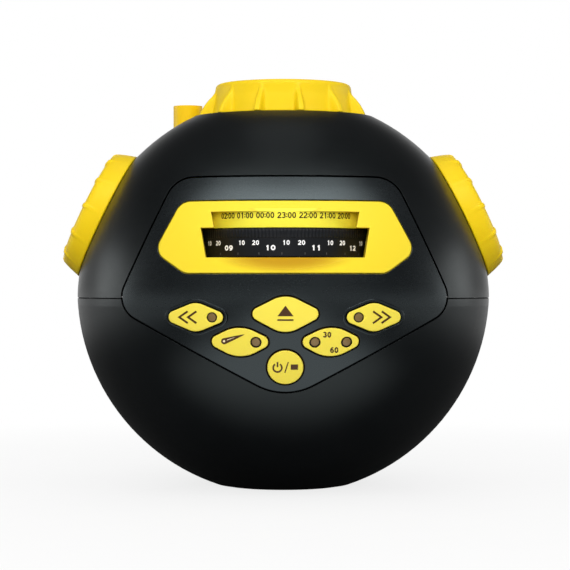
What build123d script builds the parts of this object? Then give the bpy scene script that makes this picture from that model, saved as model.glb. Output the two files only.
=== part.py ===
from build123d import *
import os
from math import acos, atan, atan2, cos, degrees, hypot, pi, radians, sin, sqrt, tan

# Ball-shaped star projector. Origin: centre of the base on the table. +Z up along the
# optical axis, the user stands at -Y, millimetres. The lid half of the ball hinges at the back.

os.makedirs("parts", exist_ok=True)

# ---- ball ------------------------------------------------------------------------------
ball_radius = 84.0          # outer skin of both half shells
lid_shift = 1.8             # the lid's sphere centre below the seam
centre_gap = 5.4            # the base's sphere centre above the lid's
belt_radius = 50.0          # profile radius of the belt between the two spheres
flat_radius = 27.416        # flat under the ball
rim_flat = 36.82            # flat rim round the lens
seam_gap = 0.4              # open joint line between lid and base
wall = 2.5                  # moulded wall
rim_round = 1.0
rim_skin = 0.8              # material left over the collar's screws
floor_height = 0.6          # underside of the base shell, the rubber foot stands below it
foot_radius = 24.0
foot_groove = 10.0          # shallow ring groove in the foot's underside
foot_groove_width = 8.0
foot_groove_depth = 0.5
foot_thickness = 1.6
web_inset = 1.25            # ribs and bosses run this far into a shell wall
plain_side = 35.0           # direction in which the ball has no opening
fit_gap = 0.05              # fixed parts in round seats
run_gap = 0.08              # turning and sliding fits
free_gap = 0.4              # parts that pass each other
seat_gap = 0.15             # parts that rest behind a skin

# ---- front panel and window bezel (front view outlines, x and z) ----------------------
panel_top_margin = 2.4      # panel's corners past the bezel's, to the side
panel_wide_margin = 15.5
panel_top_rise = 45.9       # corners above the seam
panel_wide_drop = 3.2       # and below it
panel_tip_drop = 37.5
panel_top_round = 11.0
panel_wide_round = 9.0
panel_tip_round = 22.0
panel_gap = 0.7
panel_lip = 4.0             # lip of the panel behind the base shell
panel_lip_inset = 1.5
panel_lip_depth = 2.0
bezel_top_margin = 6.0      # bezel's corners past the date drum, to the side
bezel_wide_margin = 16.1
bezel_low_margin = 4.6
bezel_top_rise = 36.6       # corners above the seam
bezel_wide_rise = 17.8
bezel_low_rise = 9.7
bezel_top_round = 6.0
bezel_wide_round = 5.0
bezel_low_round = 6.0
bezel_gap = 0.45
bezel_proud = 0.3
bezel_wall = 2.2
bezel_flange = 2.0
bezel_flange_depth = 1.3
window_wall = 1.5           # walls behind the window
window_skin = 1.0           # the walls end this far behind the ball's skin

# ---- date drum and its window ------------------------------------------------------------
drum_setback = 5.0          # drum behind the ball's skin
drum_post_gap = 2.1         # drum in front of the turntable's hub
drum_rise = 15.8            # lower edge above the seam
drum_height = 10.4
drum_wall = 1.8
scale_inset = 2.0           # printed hour scale above the drum, inside the drum's radius
scale_height = 6.4
scale_top_inset = 5.2       # ends of the scale's recess inside the drum's sides
scale_low_inset = 6.4
window_top_inset = 1.4
window_low_inset = 3.4
scoop_drop = 4.3            # lower end of the finger scoop on the skin, below the drum
scoop_inset = 6.0
scoop_depth = 4.0           # the scoop's floor reaches this far under the drum
scoop_rise = 0.6

# ---- gear train -------------------------------------------------------------------------
wheel_teeth = 46            # date drum and turntable
pinion_teeth = 12
pressure_angle = 20.0
backlash = 0.3
addendum = 0.85
dedendum = 1.2
gear_height = 3.2
wheel_flank_points = 3
pinion_flank_points = 4
pinion_extra = 0.5          # the pinion is wider than the wheels by this at each face

# ---- deck, lamp and turntable --------------------------------------------------------------
deck_drop = 1.9             # deck below the seam
deck_thickness = 2.5
deck_inset = 12.0           # deck inside the ball's skin
deck_front_inset = 27.0     # straight front edge, clear of the button board
standoff_radius = 2.5
standoff_inset = 4.0
pillar_radius = 3.8
pillar_inset = 34.0         # pillars and panel lugs inside the ball's skin, to the side
pillar_back = 38.0
pillar_lug_gap = 21.0       # front pillars behind the panel lugs
screw_radius = 1.5
screw_head = 2.8
screw_head_height = 1.8
small_head_height = 1.2
screw_length = 9.0
screw_clear = 0.2           # through holes of the screws
head_overlap = 0.5          # a screw's shank starts inside its head
spindle_radius = 3.0
spindle_shoulder = 5.0
spindle_foot = 2.0
spindle_cap = 1.6
spindle_play = 0.3
drum_hub = 6.0
post_radius = 9.0
post_bore = 6.0
post_foot = 14.0
post_drop = 3.0             # top of the lamp post below the gears
post_flange = 2.5
hub_reach = 12.4            # the hub's lower end below the gear
hub_wall = 1.9
cup_radius = 33.6
cup_height = 10.8           # disc seat above the gears
cup_wall = 1.8
cup_rim = 2.4               # rim stands this far above the seat
disc_radius = 31.2
disc_thickness = 1.2
disc_seat_width = 3.0
disc_gap = 0.2
disc_notch = 3.0
cup_foot = 4.0
hub_relief = 0.6
led_board_thickness = 1.6
led_radius = 2.5
led_height = 1.8
led_dome = 0.7              # width of the lamp's flat top over its width
condenser_radius = 8.4
condenser_height = 7.5
condenser_bulge = 2.0
skirt_wall = 4.9
motor_gap = 1.2             # motor socket behind the lamp post's foot
motor_height = 21.5
motor_boss = 4.0
motor_boss_height = 2.5
shaft_radius = 1.5
shaft_depth = 5.0
cup_socket_height = 5.5

# ---- lens -------------------------------------------------------------------------------
collar_outer = 24.0
collar_wall = 2.6
collar_drop = 13.1          # lower end below the rim
collar_rise = 10.4          # upper end above it
collar_flange = 33.0
collar_flange_thickness = 2.2
collar_screw_count = 3
collar_screw_head = 2.4
collar_head_height = 1.4
barrel_gap = 8.8            # barrel above the star disc
barrel_recess = 2.3         # its top below the collar's
lens_radius = 17.6
lens_edge = 2.4
lens_bulge = 2.2
front_lens_drop = 7.2       # edge below the barrel's top
rear_lens_rise = 4.0        # edge above the barrel's lower end
retainer_height = 2.4
lens_lip = 1.6
ring_height = 12.9
ring_top_radius = 28.3
ring_low_radius = 30.5
ring_fin_radius = 34.8
ring_fin_count = 12
ring_fin_top_width = 1.4
ring_fin_low_width = 2.8
ring_phase = 11.5           # first fin past the front
ring_lip = 1.6
ring_chamfer = 0.7
ring_play = 0.3             # over the collar's end
ring_fin_drop = 1.4
ring_fin_bow = 0.5
ring_fin_root = 2.0

# ---- side knobs ----------------------------------------------------------------------------
knob_tilt = 26.0            # knob axis above the horizontal
seat_depth = 4.7            # flat seat below the ball's skin
knob_gap = 0.35
knob_height = 9.15
knob_base_radius = 27.1
knob_face_radius = 23.2
knob_fin_base = 27.7
knob_fin_face = 23.8
knob_fin_width = 1.8
knob_fin_count = 12
knob_fin_proud = 0.5
knob_fin_chamfer = 0.8
knob_chamfer = 1.2
knob_wall = 1.8
knob_seat_margin = 3.0
knob_cut_margin = 10.0
knob_cut_height = 12.0
knob_web_gap = 1.0
knob_shaft_reach = 7.3
knob_shaft = 3.0
knob_bushing = 4.6
pot_radius = 8.5
pot_height = 8.0
pot_tab_width = 8.0
pot_tab_length = 6.0
pot_tab_thickness = 1.6

# ---- meteor projector in the lid -------------------------------------------------------------
meteor_x = -40.0
meteor_y = 25.0
meteor_radius = 6.1
meteor_wall = 1.3
meteor_rise = 6.9           # top above the lens rim
meteor_length = 31.0
meteor_collar = 8.6
meteor_lens_drop = 5.0
meteor_lens_edge = 1.6
meteor_lens_bulge = 0.8
meteor_board = 1.6
meteor_boss_rise = 4.1      # lower end of the tube's boss above the tube's
meteor_led_height = 3.0

# ---- push-buttons -----------------------------------------------------------------------------
keypad_tilt = 11.0
keypad_drop = 14.4          # middle of the keypad below the seam
keypad_inset = 19.0         # back plane of the keys behind the ball's skin
key_gap = 0.6
key_proud = 0.5
key_skin = 1.6
key_wall = 1.4
key_flange = 0.95
key_flange_thickness = 1.2
key_rest_gap = 0.3          # between a key's flange and the panel
key_round = 0.45
key_travel = 1.2
key_stem = 2.4
key_tip_angle = 27.5        # slope of the lozenge sides
key_tip_round = 2.5
side_key_x = 33.0           # rewind and forward keys
side_key_drop = 6.8         # below the seam
side_key_width = 22.5
side_key_height = 10.7
side_lamp = 5.8             # lamp from the key's middle
eject_drop = 5.6
eject_width = 24.4
eject_height = 13.2
low_key_x = 16.8            # meteor and timer keys
low_key_drop = 15.9
low_key_width = 21.0
low_key_height = 10.9
low_lamp = 5.9
power_drop = 25.3
power_diameter = 13.4
lamp_hole = 1.85
lamp_gap = 0.25
board_setback = 1.6         # board behind the keypad's plane, the switches left out
board_thickness = 1.6
board_inset = 5.0           # board's sides inside the panel lugs
board_tongue_half = 16.0
board_wing = 13.0
board_high_drop = 0.8       # upper and lower edge below the seam, at the ball's skin
board_low_drop = 29.0
post_high_x = 17.5          # posts of the button board
post_high_drop = 2.8
post_low_x = 13.2
post_low_drop = 25.8
lug_front_gap = 8.0         # lugs behind the deck's front edge
lug_height = 7.0
lug_rib = 2.0
board_post_radius = 2.2
post_screw_depth = 6.0
switch_width = 6.0
switch_height = 3.5
switch_plunger = 1.75
switch_plunger_height = 0.8
lamp_sink = 0.2             # lamps end this far below the ball's skin

# ---- hinge and latch ------------------------------------------------------------------------------
knuckle_radius = 3.2
hinge_reach = 3.6           # hinge axis behind the ball's skin
hinge_pin_radius = 1.4
knuckle_length = 12.0
hinge_spacing = 14.0        # from the middle to each knuckle pair
catch_offset = 11.0         # catches outside the panel lugs
catch_lug_gap = 9.0         # catches behind the panel lugs
catch_width = 5.0
catch_thickness = 2.0
catch_drop = 9.0
catch_web = 14.0
catch_web_reach = 20.0
catch_slot = 1.2            # half length of the deck's slot over the catch's width
latch_thickness = 2.0
latch_width = 6.0
latch_arm = 4.0
latch_inset = 6.0           # end of the bar inside the panel lugs
prong_x = 8.6
prong_width = 2.4
slot_gap = 0.6

# ---- battery box and door ---------------------------------------------------------------------------
door_deck_gap = 1.0605      # battery box below the deck
door_side_play = 11.5       # door past the row of cells, in width and in height
door_end_play = 4.4
door_round = 6.0
door_gap = 0.4
box_wall = 1.6
box_inset = 14.5            # mouth of the box below the ball's skin
box_mouth = 1.5             # the cells lie this far below the mouth
door_ledge = 1.5            # the door rests on this much of the surround
ledge_depth = 1.8
door_screw_inset = 6.0
door_screw_drop = 1.2
door_screw_length = 5.0
door_boss_wall = 2.0
door_rib = 4.0
door_inside = 44.0          # cuts along the door axis start this far below the skin
cell_radius = 7.2
cell_length = 50.5
cell_pitch = 15.2
cell_count = 3
nub_radius = 2.6
nub_height = 1.1
box_floor = 1.4
contact_thickness = 0.6
contact_size = 7.2
tongue_tip = 2.2

# ---- main board and inlet ------------------------------------------------------------------------------
main_board_x = 56.0
main_board_y = 34.0
main_board_drop = 6.0
chip_x = 12.0
chip_y = 10.0
chip_height = 2.0
capacitor_radius = 3.0
capacitor_height = 7.0
capacitor_x = 16.0
capacitor_y = 6.0
jack_angle = 36.0           # inlet, round from the back towards +X
jack_drop = 20.4            # below the seam
jack_width = 9.0
jack_depth = 13.0
jack_bore = 3.2
jack_pin = 1.0
jack_wall = 1.0
jack_bore_depth = 9.5
jack_sink = 1.0             # the inlet's mouth below the skin
jack_back_gap = 0.9
jack_gap = 0.2

# ---- places that follow from the sizes above -----------------------------------------------------------
lower_centre = floor_height + sqrt(ball_radius**2 - flat_radius**2)
upper_centre = lower_centre - centre_gap
seam_height = upper_centre + lid_shift
belt_height = (upper_centre + lower_centre) / 2
belt_sine = centre_gap / 2 / (ball_radius - belt_radius)
belt_offset = sqrt((ball_radius - belt_radius) ** 2 - (centre_gap / 2) ** 2)
rim_height = upper_centre + sqrt(ball_radius**2 - rim_flat**2)
reach = 2 * ball_radius
# the drum stands between the skin and the turntable's hub, and both wheels are alike
hub_radius = post_radius + hub_wall
drum_offset = (ball_radius - drum_setback + hub_radius + drum_post_gap) / 2
drum_radius = ball_radius - drum_setback - drum_offset
drum_bottom = seam_height + drum_rise
drum_top = drum_bottom + drum_height
scale_radius = drum_radius - scale_inset
scale_top = drum_top + scale_height
scale_top_half = drum_radius - scale_top_inset
scale_low_half = drum_radius - scale_low_inset
window_top_half = drum_radius - window_top_inset
window_low_half = drum_radius - window_low_inset
scoop_start = drum_bottom - scoop_drop
scoop_half = drum_radius - scoop_inset
bezel_top_half = drum_radius + bezel_top_margin
bezel_wide_half = drum_radius + bezel_wide_margin
bezel_low_half = drum_radius + bezel_low_margin
bezel_top = seam_height + bezel_top_rise
bezel_wide = seam_height + bezel_wide_rise
bezel_low = seam_height + bezel_low_rise
panel_top_half = bezel_top_half + panel_top_margin
panel_wide_half = bezel_wide_half + panel_wide_margin
panel_top = seam_height + panel_top_rise
panel_wide = seam_height - panel_wide_drop
panel_tip = seam_height - panel_tip_drop
module = drum_offset / wheel_teeth
pitch_wheel = module * wheel_teeth / 2
pitch_pinion = module * pinion_teeth / 2
gear_low = drum_top + free_gap
gear_high = gear_low + gear_height
deck_top = seam_height - deck_drop
deck_low = deck_top - deck_thickness
deck_radius = ball_radius - deck_inset
deck_front = ball_radius - deck_front_inset
window_back = deck_front
pillar_x = ball_radius - pillar_inset
motor_y = pitch_wheel + pitch_pinion
motor_radius = motor_y - post_foot - cup_wall - motor_gap
post_top = gear_low - post_drop
cup_seat = gear_high + cup_height
barrel_low = cup_seat + disc_thickness + barrel_gap
collar_low = rim_height - collar_drop
collar_high = rim_height + collar_rise
barrel_high = collar_high - barrel_recess
front_lens_height = barrel_high - front_lens_drop
rear_lens_height = barrel_low + rear_lens_rise
ring_low = rim_height + free_gap
ring_high = ring_low + ring_height
seat_distance = ball_radius - seat_depth
knob_face = seat_distance + knob_gap + knob_height
meteor_top = rim_height + meteor_rise
meteor_low = meteor_top - meteor_length
meteor_boss_low = meteor_low + meteor_boss_rise
keypad_height = seam_height - keypad_drop
keypad_back = ball_radius - keypad_inset
power_height = seam_height - power_drop
board_high = seam_height - board_high_drop
board_low = seam_height - board_low_drop
lug_x = pillar_x
lug_y = deck_front - lug_front_gap
board_half = lug_x - board_inset
latch_bar = lug_x - latch_inset
catch_x = lug_x + catch_offset
catch_y = lug_y - catch_lug_gap
pillar_front = pillar_lug_gap - lug_y
hinge_y = ball_radius + hinge_reach
box_outer = ball_radius - box_inset
box_depth = 2 * cell_radius + box_wall + box_mouth
door_width = cell_length + door_side_play
door_height = cell_pitch * cell_count + door_end_play
box_height = door_height + 2 * door_gap - 2 * fit_gap
# door axis below the horizontal: the box's upper inner edge stays below the deck
box_inner = box_outer - box_depth
box_lift = deck_low - door_deck_gap - lower_centre
door_tilt = degrees(acos(box_lift / hypot(box_height / 2, box_inner)) - atan2(box_inner, box_height / 2))
door_start = ball_radius - door_inside
jack_height = seam_height - jack_drop

side_key_z = seam_height - side_key_drop
low_key_z = seam_height - low_key_drop

# name: x, z, width, height and lamp places along x
keys = {
    "rewind_button": (-side_key_x, side_key_z, side_key_width, side_key_height, (side_lamp,)),
    "forward_button": (side_key_x, side_key_z, side_key_width, side_key_height, (-side_lamp,)),
    "eject_button": (0.0, seam_height - eject_drop, eject_width, eject_height, ()),
    "meteor_button": (-low_key_x, low_key_z, low_key_width, low_key_height, (low_lamp,)),
    "timer_button": (low_key_x, low_key_z, low_key_width, low_key_height, (-low_lamp, low_lamp)),
}
board_posts = [
    (-post_high_x, seam_height - post_high_drop),
    (post_high_x, seam_height - post_high_drop),
    (-post_low_x, seam_height - post_low_drop),
    (post_low_x, seam_height - post_low_drop),
]
capacitor_places = ((capacitor_x, capacitor_y), (capacitor_x, -capacitor_y))


# ======================================================================================================
# helpers
# ======================================================================================================
def belt_ends(inset: float) -> tuple:
    """Heights at which the belt of the profile meets the lower and the upper sphere."""
    lift = (ball_radius - inset) * belt_sine
    return lower_centre - lift, upper_centre + lift


def skin_radius(height: float, inset: float = 0.0) -> float:
    """Radius of the ball at a height, `inset` inside its outer skin."""
    belt_low, belt_high = belt_ends(inset)
    if belt_low < height < belt_high:
        return belt_offset + sqrt((belt_radius - inset) ** 2 - (height - belt_height) ** 2)
    centre = upper_centre if height > belt_height else lower_centre
    return sqrt((ball_radius - inset) ** 2 - (height - centre) ** 2)


def ball_solid(inset: float = 0.0, low: float = floor_height, high: float = rim_height):
    """The ball between two heights as one body of revolution, `inset` inside its outer skin."""
    levels = [low] + [z for z in belt_ends(inset) if low < z < high] + [high]
    outline = [Line((0, low), (skin_radius(low, inset), low))]
    for bottom, top in zip(levels, levels[1:]):
        heights = (bottom, (bottom + top) / 2, top)
        outline.append(ThreePointArc(*[(skin_radius(z, inset), z) for z in heights]))
    outline.append(Line((skin_radius(high, inset), high), (0, high)))
    outline.append(Line((0, high), (0, low)))
    # the seam of revolution is turned away from every cut
    return Rot(0, 0, plain_side) * revolve(Plane.XZ * make_face(outline), Axis.Z)


def front_prism(sketch, start: float = 30.0):
    """Extrude a front view sketch towards the user, from `start` in front of the axis."""
    return extrude(Plane.XZ.offset(start) * sketch, reach - start)


def rounded(points: list, radii: list):
    """Face with one fillet radius for each corner."""
    return make_face(FilletPolyline(*points, radius=radii, close=True))


def panel_outline(grow: float = 0.0):
    """Shield outline of the front panel in the front view."""
    points = [
        (-panel_top_half, panel_top),
        (panel_top_half, panel_top),
        (panel_wide_half, panel_wide),
        (0, panel_tip),
        (-panel_wide_half, panel_wide),
    ]
    radii = [panel_top_round, panel_top_round, panel_wide_round, panel_tip_round, panel_wide_round]
    face = rounded(points, radii)
    return offset(face, grow) if grow else face


def bezel_outline(grow: float = 0.0):
    """Six-cornered outline of the window bezel in the front view."""
    half = [
        (bezel_top_half, bezel_top, bezel_top_round),
        (bezel_wide_half, bezel_wide, bezel_wide_round),
        (bezel_low_half, bezel_low, bezel_low_round),
    ]
    right = [(x, z) for x, z, _ in half]
    left = [(-x, z) for x, z, _ in reversed(half)]
    radii = [r for _, _, r in half] + [r for _, _, r in reversed(half)]
    face = rounded(right + left, radii)
    return offset(face, grow) if grow else face


def tube(outer: float, inner: float, low: float, high: float, x: float = 0.0, y: float = 0.0):
    """Upright tube, or a rod where the inner radius is 0."""
    solid = Pos(x, y, low) * extrude(Circle(outer), high - low)
    if inner:
        solid -= Pos(x, y, low) * extrude(Circle(inner), high - low)
    return solid


def block(x0: float, x1: float, y0: float, y1: float, z0: float, z1: float):
    """Box from its lowest and highest corners."""
    return Pos((x0 + x1) / 2, (y0 + y1) / 2, (z0 + z1) / 2) * Box(x1 - x0, y1 - y0, z1 - z0)


def turned(points: list):
    """Body of revolution about Z from radius and height pairs."""
    return revolve(Plane.XZ * make_face(Polyline(*points, close=True)), Axis.Z)


def save(name: str, solid) -> None:
    """Write one sub-part to its own STEP file."""
    solid.label = name
    export_step(solid, f"parts/{name}.step")


def gear_face(teeth: int, phase: float, flank_points: int):
    """Spur gear outline with involute flanks, one tooth centred at `phase` degrees."""
    pitch = module * teeth / 2
    base = pitch * cos(radians(pressure_angle))
    tip = pitch + addendum * module
    root = pitch - dedendum * module
    half_tooth = (pi * module / 2 - backlash / 2) / (2 * pitch)
    involute_pitch = tan(radians(pressure_angle)) - radians(pressure_angle)
    start = max(base, root)
    points = []
    for tooth in range(teeth):
        middle = radians(phase + 360 * tooth / teeth)
        flank = []
        for step in range(flank_points):
            radius = start + (tip - start) * step / (flank_points - 1)
            roll = sqrt(max((radius / base) ** 2 - 1, 0))
            spread = half_tooth + involute_pitch - (roll - atan2(roll, 1))
            flank.append((radius, spread))
        if root < base:
            flank.insert(0, (root, flank[0][1]))
        for radius, spread in flank:
            points.append((radius * cos(middle - spread), radius * sin(middle - spread)))
        for radius, spread in reversed(flank):
            points.append((radius * cos(middle + spread), radius * sin(middle + spread)))
    return make_face(Polyline(*points, close=True))


def dome(radius: float, bulge: float, x: float) -> float:
    """Height of a spherical cap of this base radius and bulge at distance x from its axis."""
    size = (radius**2 + bulge**2) / (2 * bulge)
    return sqrt(size**2 - x**2) - (size - bulge)


def lens_solid(height: float, radius: float, edge: float, bulge: float):
    """Lens with two curved faces and a straight edge, its lower edge corner at `height`."""
    top = height + edge
    half = dome(radius, bulge, radius / 2)
    outline = [
        ThreePointArc((0, height - bulge), (radius / 2, height - half), (radius, height)),
        Line((radius, height), (radius, top)),
        ThreePointArc((radius, top), (radius / 2, top + half), (0, top + bulge)),
        Line((0, top + bulge), (0, height - bulge)),
    ]
    return revolve(Plane.XZ * make_face(outline), Axis.Z)


# ======================================================================================================
# key pad frame: keys slide along its normal
# ======================================================================================================
key_normal = Vector(0, -cos(radians(keypad_tilt)), -sin(radians(keypad_tilt)))
keypad = Plane(origin=(0, -keypad_back, keypad_height), x_dir=(1, 0, 0), z_dir=key_normal)


def key_place(x: float, z: float) -> tuple:
    """Place on the keypad plane of a point of the ball's skin seen at x, z from the front."""
    y = -sqrt(skin_radius(z) ** 2 - x**2)
    local = keypad.to_local_coords(Vector(x, y, z))
    return local.X, local.Y


def lozenge(width: float, height: float, grow: float = 0.0):
    """Lozenge with small side tips and wide round top and bottom."""
    slope = radians(key_tip_angle)
    half_x = width / 2 + key_tip_round * (1 / sin(slope) - 1)
    half_y = half_x * tan(slope)
    crown = (half_y - height / 2) / (1 / cos(slope) - 1)
    points = [(half_x, 0), (0, half_y), (-half_x, 0), (0, -half_y)]
    face = rounded(points, [key_tip_round, crown, key_tip_round, crown])
    return offset(face, grow) if grow else face


def key_sketch(name: str, grow: float = 0.0):
    """Outline of a key on the keypad plane."""
    if name == "power_button":
        u, v = key_place(0, power_height)
        return Pos(u, v) * Circle(power_diameter / 2 + grow)
    x, z, width, height, _ = keys[name]
    u, v = key_place(x, z)
    # turned so that its tips lie level in the front view, since the skin slopes away there
    slope = x / sqrt(skin_radius(z) ** 2 - x**2)
    turn = -degrees(atan(tan(radians(keypad_tilt)) * slope))
    return Pos(u, v) * Rot(0, 0, turn) * lozenge(width, height, grow)


def key_prism(sketch, low: float = 0.0, high: float = 40.0):
    """Extrude a keypad sketch along the keys' travel."""
    return extrude(keypad.offset(low) * sketch, high - low)


key_names = list(keys) + ["power_button"]
key_start = -ball_radius / 4   # key cuts start this far behind the keypad plane


def lamp_places() -> list:
    """Places of the indicator lamps on the keypad plane."""
    places = []
    for x, z, _, _, lamps in keys.values():
        places += [key_place(x + shift, z) for shift in lamps]
    return places


def key_centre(name: str) -> tuple:
    """Middle of a key on the keypad plane, where its stem and switch stand."""
    if name == "power_button":
        return key_place(0, power_height)
    return key_place(keys[name][0], keys[name][1])


# ======================================================================================================
# shells
# ======================================================================================================
hinge_side = (-1, 1)


def knuckle_spans(upper: bool) -> list:
    """X spans of the hinge knuckles of the lid or of the base."""
    spans = []
    for side in hinge_side:
        inner = side * hinge_spacing
        span = (inner, inner + side * knuckle_length)
        other = (inner - side * (knuckle_length + run_gap * 2), inner - side * run_gap * 2)
        spans.append(sorted(other if upper else span))
    return spans


def knuckles(upper: bool):
    """Hinge barrels and the webs that tie them to the shell's wall."""
    solids = None
    web_low = seam_height + seam_gap / 2 if upper else seam_height - knuckle_radius
    web_high = seam_height + knuckle_radius if upper else seam_height - seam_gap / 2
    for x0, x1 in knuckle_spans(upper):
        end = Plane.YZ.offset(x0) * Pos(hinge_y, seam_height)
        barrel = extrude(end * Circle(knuckle_radius), x1 - x0)
        wall_y = sqrt(skin_radius(web_high) ** 2 - max(abs(x0), abs(x1)) ** 2) - web_inset
        web = block(x0, x1, wall_y, hinge_y, web_low, web_high)
        piece = barrel + (web - ball_solid(web_inset))
        piece -= extrude(end * Circle(hinge_pin_radius + run_gap), x1 - x0)
        solids = piece if solids is None else solids + piece
    return solids


def knuckle_relief(upper: bool):
    """Room in one shell for the other shell's barrels."""
    solids = None
    for x0, x1 in knuckle_spans(not upper):
        end = Plane.YZ.offset(x0 - free_gap) * Pos(hinge_y, seam_height)
        relief = extrude(end * Circle(knuckle_radius + free_gap), x1 - x0 + 2 * free_gap)
        solids = relief if solids is None else solids + relief
    return solids


door_direction = Vector(0, cos(radians(door_tilt)), -sin(radians(door_tilt)))
door_plane = Plane(origin=(0, 0, lower_centre), x_dir=(-1, 0, 0), z_dir=door_direction)


def door_prism(grow: float, low: float, high: float):
    """Prism of the battery door's outline along the door axis."""
    sketch = RectangleRounded(door_width + 2 * grow, door_height + 2 * grow, door_round + grow)
    return extrude(door_plane.offset(low) * sketch, high - low)


door_screw_v = door_height / 2 - door_screw_inset
door_screw_seat = sqrt(ball_radius**2 - door_screw_v**2) - door_screw_drop


def door_screw_prism(radius: float, low: float, high: float):
    """Round prism on the door screw's axis."""
    return extrude(door_plane.offset(low) * Pos(0, door_screw_v) * Circle(radius), high - low)


def door_surround():
    """Moulded wall round the door opening: it holds the box, carries the door and its screw."""
    frame = door_prism(door_gap + wall, box_outer - wall, ball_radius)
    frame -= door_prism(door_gap, door_start, ball_radius)
    surround = frame & ball_solid(web_inset)
    ledge = door_prism(door_gap + web_inset, door_start, ball_radius)
    ledge -= door_prism(-door_ledge, door_start, ball_radius)
    surround += ledge & (ball_solid(wall + seat_gap) - ball_solid(wall + ledge_depth))
    # screw boss and the rib that ties it to the wall
    boss_plane = door_plane.offset(box_outer + door_rib)
    rib_middle = (door_screw_v + door_height / 2) / 2
    rib = Rectangle(door_rib, door_height / 2 - door_screw_v + 2 * door_gap)
    boss = door_screw_prism(screw_radius + door_boss_wall, box_outer + door_rib, ball_radius)
    boss += extrude(boss_plane * Pos(0, rib_middle) * rib, ball_radius - box_outer)
    surround += boss & ball_solid(wall + seat_gap)
    surround -= door_screw_prism(screw_radius + fit_gap, box_outer, ball_radius)
    return surround


def jack_place(solid):
    """Turn a solid from the back of the ball to the inlet's place."""
    return Rot(0, 0, -jack_angle) * solid


pillar_places = [(side * pillar_x, y) for side in (-1, 1) for y in (pillar_front, pillar_back)]


def lower_shell():
    """Base half of the ball with its pillars, panel notch, door opening and hinge."""
    high = seam_height - seam_gap / 2
    shell = ball_solid(0, floor_height, high)
    shell -= ball_solid(wall, floor_height + wall, high)
    # seat of the rubber foot
    shell -= tube(foot_radius + fit_gap, 0, 0, foot_thickness + fit_gap)
    shell -= front_prism(panel_outline(panel_gap))
    shell -= door_prism(door_gap, box_outer, ball_radius + wall)
    shell += door_surround()
    # pillars that carry the deck
    for x, y in pillar_places:
        pillar = tube(pillar_radius, 0, floor_height + wall, deck_low, x, y)
        pillar = pillar & ball_solid(web_inset, floor_height, seam_height)
        pillar -= tube(screw_radius - fit_gap, 0, deck_top - screw_length, deck_low, x, y)
        shell += pillar
    # inlet hole
    mouth = Plane.XZ.offset(-ball_radius) * Pos(0, jack_height) * Circle(jack_bore + jack_wall + jack_gap)
    shell -= jack_place(extrude(mouth, jack_depth))
    shell += knuckles(False)
    shell -= knuckle_relief(False)
    return shell


def knob_plane(side: int, distance: float = 0.0) -> Plane:
    """Plane square to a side knob's axis, at a distance from the lid's sphere centre."""
    axis = Vector(side * cos(radians(knob_tilt)), 0, sin(radians(knob_tilt)))
    origin = Vector(0, 0, upper_centre) + axis * distance
    return Plane(origin=origin, x_dir=(0, -1, 0), z_dir=axis)


def knob_disc(side: int, radius: float, low: float, high: float, inner: float = 0.0):
    """Disc or ring round a side knob's axis between two distances."""
    sketch = Circle(radius) - Circle(inner) if inner else Circle(radius)
    return extrude(knob_plane(side, low) * sketch, high - low)


def upper_shell():
    """Lid half of the ball with the lens rim, knob seats, panel notch and hinge."""
    low = seam_height + seam_gap / 2
    shell = ball_solid(0, low, rim_height)
    rim_edge = shell.edges().group_by(Axis.Z)[-1]
    shell = fillet(rim_edge, rim_round)
    shell -= ball_solid(wall, low, rim_height - wall)
    for side in (-1, 1):
        seat_radius = knob_fin_base + knob_seat_margin
        backing = knob_disc(side, seat_radius, seat_distance - wall, seat_distance + wall)
        shell += backing & ball_solid(web_inset, low, rim_height)
        cut = knob_disc(side, knob_fin_base + knob_cut_margin, seat_distance, seat_distance + knob_cut_height)
        shell -= cut
        shell -= knob_disc(side, knob_bushing + fit_gap, seat_distance - 2 * wall, seat_distance)
    shell -= tube(collar_outer + fit_gap, 0, rim_height - 2 * wall, rim_height)
    for x, y in collar_screw_places():
        shell -= tube(screw_radius - fit_gap, 0, rim_height - 2 * wall, rim_height - rim_skin, x, y)
    shell -= front_prism(panel_outline(panel_gap), 0)
    boss = tube(meteor_collar, 0, meteor_low, rim_height, meteor_x, meteor_y)
    shell += boss & ball_solid(web_inset / 2, meteor_boss_low, rim_height)
    shell -= tube(meteor_radius + fit_gap, 0, upper_centre, meteor_top, meteor_x, meteor_y)
    shell += knuckles(True)
    shell -= knuckle_relief(True)
    return shell


# ======================================================================================================
# front panel, bezel and keys
# ======================================================================================================
board_front = -board_setback - key_travel - switch_height - switch_plunger_height


def panel():
    """Spherical front panel with key holes, window, lip, board posts and deck lugs."""
    plate = front_prism(panel_outline()) & (ball_solid(0) - ball_solid(wall))
    below_seam = block(-reach, reach, -reach, 0, 0, panel_wide - panel_lip)
    lip_back = ball_solid(wall + panel_lip_depth)
    lip = front_prism(panel_outline(panel_lip) - panel_outline(-panel_lip_inset))
    plate += lip & (ball_solid(wall + fit_gap) - lip_back) & below_seam
    # the lip is tied to the plate by a short wall
    tie = front_prism(panel_outline() - panel_outline(-panel_lip_inset))
    plate += tie & (ball_solid(web_inset) - lip_back) & below_seam
    plate -= front_prism(bezel_outline(bezel_gap))
    for name in key_names:
        plate -= key_prism(key_sketch(name, key_gap), board_front)
    for x, z in board_posts:
        u, v = key_place(x, z)
        post = key_prism(Pos(u, v) * Circle(board_post_radius), board_front)
        post -= key_prism(Pos(u, v) * Circle(screw_radius / 2), board_front, board_front + post_screw_depth)
        plate += post & ball_solid(web_inset)
    for side in (-1, 1):
        x = side * lug_x
        high = deck_top + lug_height
        lug = tube(pillar_radius, 0, deck_top, high, x, -lug_y)
        lug += block(x - lug_rib, x + lug_rib, -reach, -lug_y, deck_top, high) & ball_solid(web_inset)
        lug -= tube(screw_radius - fit_gap, 0, deck_top, high, x, -lug_y)
        plate += lug
    return plate


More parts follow.
